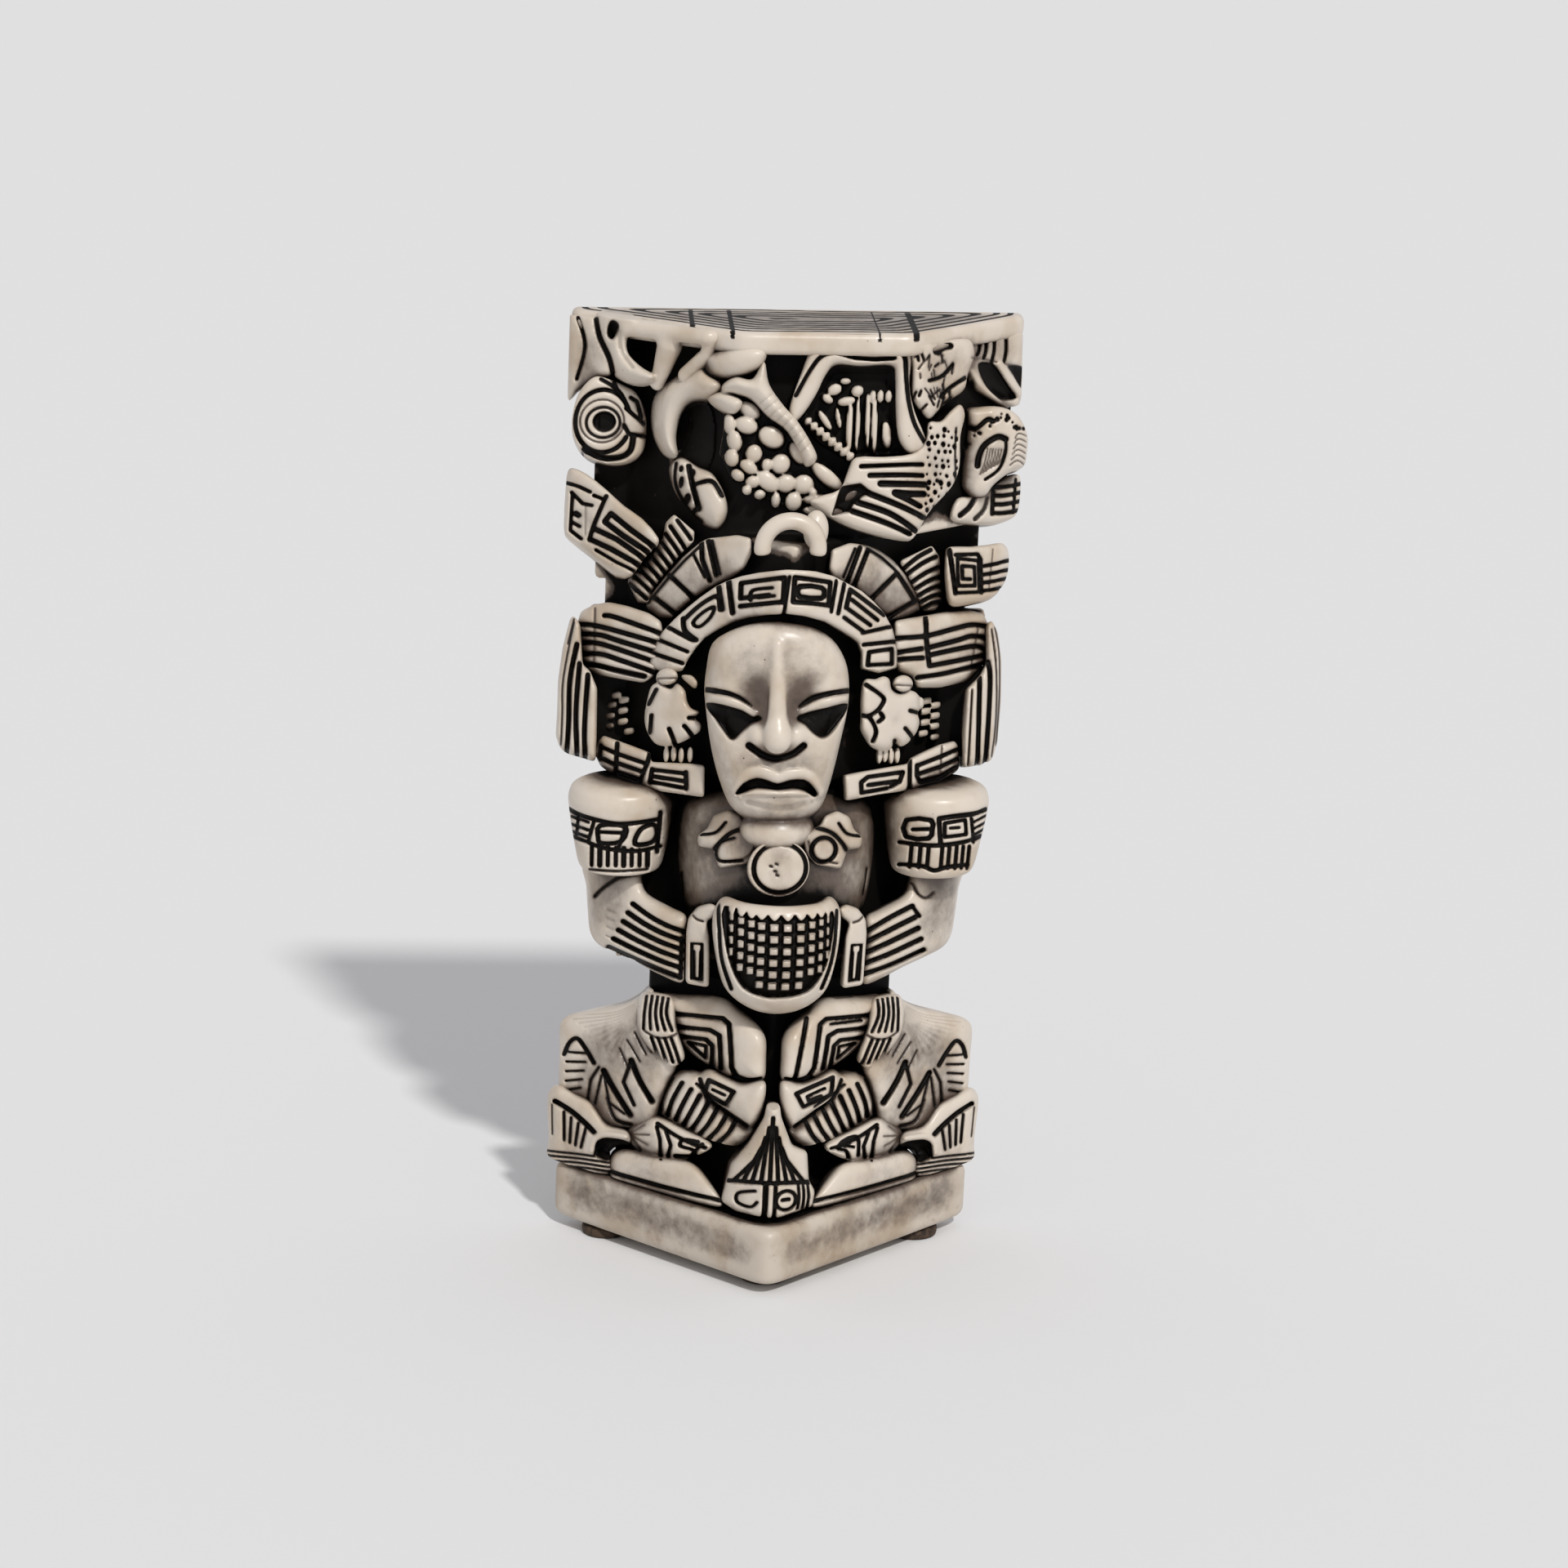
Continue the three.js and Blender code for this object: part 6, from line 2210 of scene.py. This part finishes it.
class Recipe:
    """A material being mixed: short names for the few nodes that every finish needs."""

    def __init__(self, name: str) -> None:
        """Start an empty material.

        Args:
            name: The material's name.
        """
        self.material = bpy.data.materials.new(name)
        self.material.use_nodes = True
        self.tree = self.material.node_tree
        self.tree.nodes.clear()
        self.place = add_node(self.tree, "ShaderNodeTexCoord").outputs["Object"]

    def noise(self, size: float, detail: float = 3.0, rough: float = 0.55) -> bpy.types.NodeSocket:
        """A cloudy pattern.

        Args:
            size: Size of its blotches in millimetres.
            detail: How many finer layers it has.
            rough: How strong the finer layers are.

        Returns:
            Its value, about 0.5 on average.
        """
        made = add_node(self.tree, "ShaderNodeTexNoise", Vector=self.place, Scale=1000.0 / size,
                        Detail=detail, Roughness=rough)
        return made.outputs["Fac"]

    def specks(self, size: float, radius: float) -> bpy.types.NodeSocket:
        """Round specks, 1 in each speck's middle and 0 between them.

        Args:
            size: Their spacing in millimetres.
            radius: Their radius as a share of the spacing.

        Returns:
            The specks.
        """
        made = add_node(self.tree, "ShaderNodeTexVoronoi", Vector=self.place, Scale=1000.0 / size)
        return self.step(made.outputs["Distance"], radius, radius * 0.35)

    def kept(self, name: str) -> bpy.types.NodeSocket:
        """A number stored on the mesh.

        Args:
            name: The attribute's name.

        Returns:
            Its value.
        """
        return add_node(self.tree, "ShaderNodeAttribute", {"attribute_name": name}).outputs["Fac"]

    def step(self, value: bpy.types.NodeSocket, low: float, high: float,
             tall: float = 1.0) -> bpy.types.NodeSocket:
        """A smooth step of a value.

        Args:
            value: The value.
            low: Where the step is 0.
            high: Where it reaches its height.
            tall: Its height.

        Returns:
            The step.
        """
        made = add_node(self.tree, "ShaderNodeMapRange", {"interpolation_type": "SMOOTHSTEP"}, Value=value,
                        in_1=low, in_2=high, in_3=0.0, in_4=tall)
        return made.outputs[0]

    def sum(self, kind: str, a: bpy.types.NodeSocket | float,
            b: bpy.types.NodeSocket | float) -> bpy.types.NodeSocket:
        """Arithmetic on two values.

        Args:
            kind: The operation.
            a: The first value.
            b: The second value.

        Returns:
            The result.
        """
        return add_node(self.tree, "ShaderNodeMath", {"operation": kind}, in_0=a, in_1=b).outputs[0]

    def blend(self, share: bpy.types.NodeSocket, a: object, b: object) -> bpy.types.NodeSocket:
        """A mix of two colours.

        Args:
            share: How much of the second.
            a: The first colour.
            b: The second colour.

        Returns:
            The colour.
        """
        made = add_node(self.tree, "ShaderNodeMix", {"data_type": "RGBA"}, in_0=share, in_6=a, in_7=b)
        return made.outputs[2]

    def close(self, colour: object, roughness: object, height: bpy.types.NodeSocket | None = None,
              raised: float = 0.0, **more: object) -> bpy.types.Material:
        """Finish the material with its shader.

        Args:
            colour: The base colour.
            roughness: The roughness.
            height: A pattern that stands for the surface's fine height.
            raised: How tall that pattern is, in millimetres.
            **more: Further shader sockets.

        Returns:
            The material.
        """
        if height is not None:
            bump = add_node(self.tree, "ShaderNodeBump", Strength=1.0, Distance=raised / 1000.0,
                            Height=height)
            more["Normal"] = bump.outputs[0]
        shader = add_node(self.tree, "ShaderNodeBsdfPrincipled", Base_Color=colour, Roughness=roughness,
                          **more)
        add_node(self.tree, "ShaderNodeOutputMaterial", Surface=shader.outputs[0])
        return self.material


@dataclass(frozen=True)
class WashedCeramic:
    """Bone ceramic, moulded by hand, washed with umber stain and wiped back to a satin seal.

    The eye sees a warm bone body, a grey-brown bloom that thickens towards every hollow, and
    near-black in the grooves and the deepest hollows. Both are partly the umber wash left in cuts and
    creases and partly painted shade: the measured hollowness round each point darkens the colour as
    ambient occlusion would.
    """

    name: str
    body: str = "#d3c8ba"
    warm: str = "#bba993"
    # the brown bloom and the black: umber wash in cuts and creases, and painted shade in hollows
    smoke: str = "#5a4c42"
    wash_shade_black: str = "#0c0907"
    stain: float = 0.0  # how much warm brown stain shows on open faces
    hold: tuple[float, float, float] = (-0.36, 0.16, 0.46)  # how hollow a place must be to take the brown and the black, pooled wash and painted shade alike
    roughness: float = 0.36

    def mix(self) -> bpy.types.Material:
        """Mix the material.

        Returns:
            The material.
        """
        r = Recipe(self.name)
        cloud = r.noise(22.0, 4.0)
        body = r.blend(r.step(cloud, 0.42, 0.72), shade(self.body), shade(self.warm))
        if self.stain:
            body = r.blend(r.step(r.noise(13.0, 6.0, 0.68), 0.5, 0.78, self.stain), body, shade("#8a6f55"))
            body = r.blend(r.step(r.noise(3.2, 3.0), 0.62, 0.8, self.stain * 0.8), body, shade("#7a6450"))
        grain = r.sum("MULTIPLY", r.sum("SUBTRACT", r.noise(3.4, 4.0, 0.6), 0.5), 0.34)
        carved, crease = r.kept("carved"), r.kept("crease")
        nook, cave = r.kept("nook"), r.kept("cave")
        # how hollow the clay is round each point; darkening by it is painted shade, like ambient occlusion,
        # over the wash that pools there
        deep = r.sum("ADD", r.sum("ADD", cave, r.sum("MULTIPLY", nook, 0.4)), grain)
        low, middle, high = self.hold
        # brown share: wash in cuts and creases, and painted shade in hollows
        brown_wash_and_shade = r.sum("MAXIMUM", r.step(carved, 0.12, 0.5, 0.95), r.step(crease, 0.1, 0.32, 0.8))
        brown_wash_and_shade = r.sum("MAXIMUM", brown_wash_and_shade, r.step(deep, low, middle))
        # black share: wash in deep cuts and creases, and painted shade in the deepest hollows
        black_wash_and_shade = r.sum("MAXIMUM", r.step(carved, 0.42, 0.8), r.step(crease, 0.26, 0.46))
        black_wash_and_shade = r.sum("MAXIMUM", black_wash_and_shade, r.step(deep, middle * 0.8, high))
        colour = r.blend(brown_wash_and_shade, body, shade(self.smoke))
        colour = r.blend(black_wash_and_shade, colour, shade(self.wash_shade_black))
        pores = r.sum("MULTIPLY", r.specks(3.6, 0.085), r.step(r.noise(9.0), 0.5, 0.6))
        colour = r.blend(pores, colour, shade("#3a2f27"))
        height = r.sum("ADD", r.sum("MULTIPLY", r.noise(5.0, 2.0), 0.7),
                       r.sum("MULTIPLY", r.noise(0.9), 0.06))
        height = r.sum("SUBTRACT", height, r.sum("MULTIPLY", pores, 0.5))
        clear = r.sum("SUBTRACT", 1.0, r.sum("MULTIPLY", black_wash_and_shade, 0.75))
        rough = r.sum("ADD", self.roughness, r.sum("MULTIPLY", black_wash_and_shade, 0.2))
        return r.close(colour, rough, height, 0.16, IOR=1.5,
                       Specular_IOR_Level=r.sum("MULTIPLY", clear, 0.5),
                       Coat_Weight=r.sum("MULTIPLY", clear, 0.1), Coat_Roughness=0.28)


@dataclass(frozen=True)
class PaintedFloor:
    """A studio floor in flat, pale grey paint: an even ground with no visible texture."""

    name: str = "studio floor, matt pale grey paint"
    colour: str = "#e4e4e4"

    def mix(self) -> bpy.types.Material:
        """Mix the material.

        Returns:
            The material.
        """
        r = Recipe(self.name)
        return r.close(shade(self.colour), 0.9, IOR=1.45, Specular_IOR_Level=0.1)


@dataclass(frozen=True)
class PressedCork:
    """Pressed cork of the pads, its colours kept dark near the shadow under the base as painted shade: small
    brown granules with darker crumbs between them.
    """

    name: str = "pressed cork, ground flat"

    def mix(self) -> bpy.types.Material:
        """Mix the material.

        Returns:
            The material.
        """
        r = Recipe(self.name)
        granule = r.noise(1.6, 2.0)
        # dark cork colours chosen near the tone of the shadow under the base: painted shade
        colour = r.blend(r.step(granule, 0.4, 0.65), shade("#4a3a2c"), shade("#2b211a"))
        return r.close(colour, 0.85, granule, 0.2, IOR=1.45)


FINISHES = {
    Finish.BONE: (WashedCeramic("bone ceramic, umber wash wiped back"), "bone_ceramic"),
    Finish.BASE: (WashedCeramic("base ceramic, stained and wiped back", body="#c3b8aa", warm="#a6947e",
                                stain=0.6, hold=(-0.25, 0.1, 0.4), roughness=0.45), "base"),
    # the near-black of the deepest recesses, seen between elements: heavy umber wash and painted shade
    # together
    Finish.WASH: (WashedCeramic("recessed ceramic, heavy umber wash", hold=(-0.3, -0.1, 0.05),
                                roughness=0.5),
                  "washed_ceramic"),
    Finish.CORK: (PressedCork(), "pad"),
}


# ---- Studio ----


@dataclass
class Studio:
    """The floor, the lights and the camera."""

    key_turn: float = 22.0  # how far right of the camera the key light stands, in degrees
    key_rise: float = 43.0
    key_power: float = 2.05
    sky_power: float = 0.55
    yaw: float = -2.6  # the camera's place, seen from above, from straight ahead
    rise: float = 14.5
    distance: float = 1.195
    target: Triple = (-0.3, 0.0, 138.9)
    roll: float = 1.19

    def build(self) -> None:
        """Set everything up."""
        self.floor()
        self.lights()
        self.camera()

    def floor(self) -> None:
        """Lay a plain floor that fills the view."""
        mesh = bpy.data.meshes.new("studio_floor")
        mesh.from_pydata([(-12, -6, 0), (12, -6, 0), (12, 24, 0), (-12, 24, 0)], [], [(0, 1, 2, 3)])
        made = bpy.data.objects.new("studio_floor", mesh)
        mesh.materials.append(PaintedFloor().mix())
        bpy.context.scene.collection.objects.link(made)

    def lights(self) -> None:
        """Hang the key light and switch the sky on."""
        turn, rise = math.radians(self.key_turn + self.yaw), math.radians(self.key_rise)
        way = Vector((math.sin(turn) * math.cos(rise), -math.cos(turn) * math.cos(rise), math.sin(rise)))
        key = bpy.data.lights.new("key_light", "SUN")
        key.energy, key.angle, key.color = self.key_power, math.radians(4.0), (1.0, 0.985, 0.96)
        holder = bpy.data.objects.new("key_light", key)
        holder.rotation_euler = way.to_track_quat("Z", "Y").to_euler()
        holder.location = way * 2.0
        bpy.context.scene.collection.objects.link(holder)
        world = bpy.data.worlds.new("studio_sky")
        world.use_nodes = True
        world.node_tree.nodes.clear()
        sky = add_node(world.node_tree, "ShaderNodeBackground", Color=shade("#fbfbff"),
                       Strength=self.sky_power)
        add_node(world.node_tree, "ShaderNodeOutputWorld", Surface=sky.outputs[0])
        bpy.context.scene.world = world
        bpy.context.scene.view_settings.view_transform = "Standard"

    def camera(self) -> None:
        """Stand the camera a little to the left and above, rolled with the figure's lean."""
        lens = bpy.data.cameras.new("camera")
        lens.lens, lens.sensor_width = 100.0, 36.0
        holder = bpy.data.objects.new("camera", lens)
        turn, rise = math.radians(self.yaw), math.radians(self.rise)
        way = Vector((math.sin(turn) * math.cos(rise), -math.cos(turn) * math.cos(rise), math.sin(rise)))
        target = Vector(self.target) / 1000.0
        aim = way.to_track_quat("Z", "Y").to_matrix().to_4x4()
        spin = Matrix.Rotation(math.radians(self.roll), 4, "Z")
        holder.matrix_world = Matrix.Translation(target + way * self.distance) @ aim @ spin
        bpy.context.scene.collection.objects.link(holder)
        bpy.context.scene.camera = holder


# ---- The whole figure ----


class Figure:
    """Builds every element, fires it, dresses it and hands it to the frame."""

    def __init__(self) -> None:
        """Start with the sub-assemblies in order, from the base up."""
        self.kiln = Kiln()
        self.groups = (Base(), Legs(), Trunk(), Head(), Bands(), Crown())

    def build(self) -> None:
        """Build all the elements and give them their finishes."""
        for group in self.groups:
            for clay in group.build():
                self.kiln.fire(clay)
                faces = len(clay.object.data.polygons)
                log.info("%s: %d faces for %s", clay.name, faces, ", ".join(clay.nodes))
        self.kiln.measure_hollows()
        made = {finish: recipe.mix() for finish, (recipe, _) in FINISHES.items()}
        for clay in self.kiln.pieces:
            clay.object.data.materials.append(made[clay.finish])
            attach(clay.object, "root")
            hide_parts(*clay.nodes)


def main() -> None:
    """Build the figure and the studio, and note the sizes."""
    logging.basicConfig(level=logging.INFO, format="%(name)s: %(message)s", stream=sys.stdout)
    Figure().build()
    Studio().build()


if __name__ == "__main__":
    main()
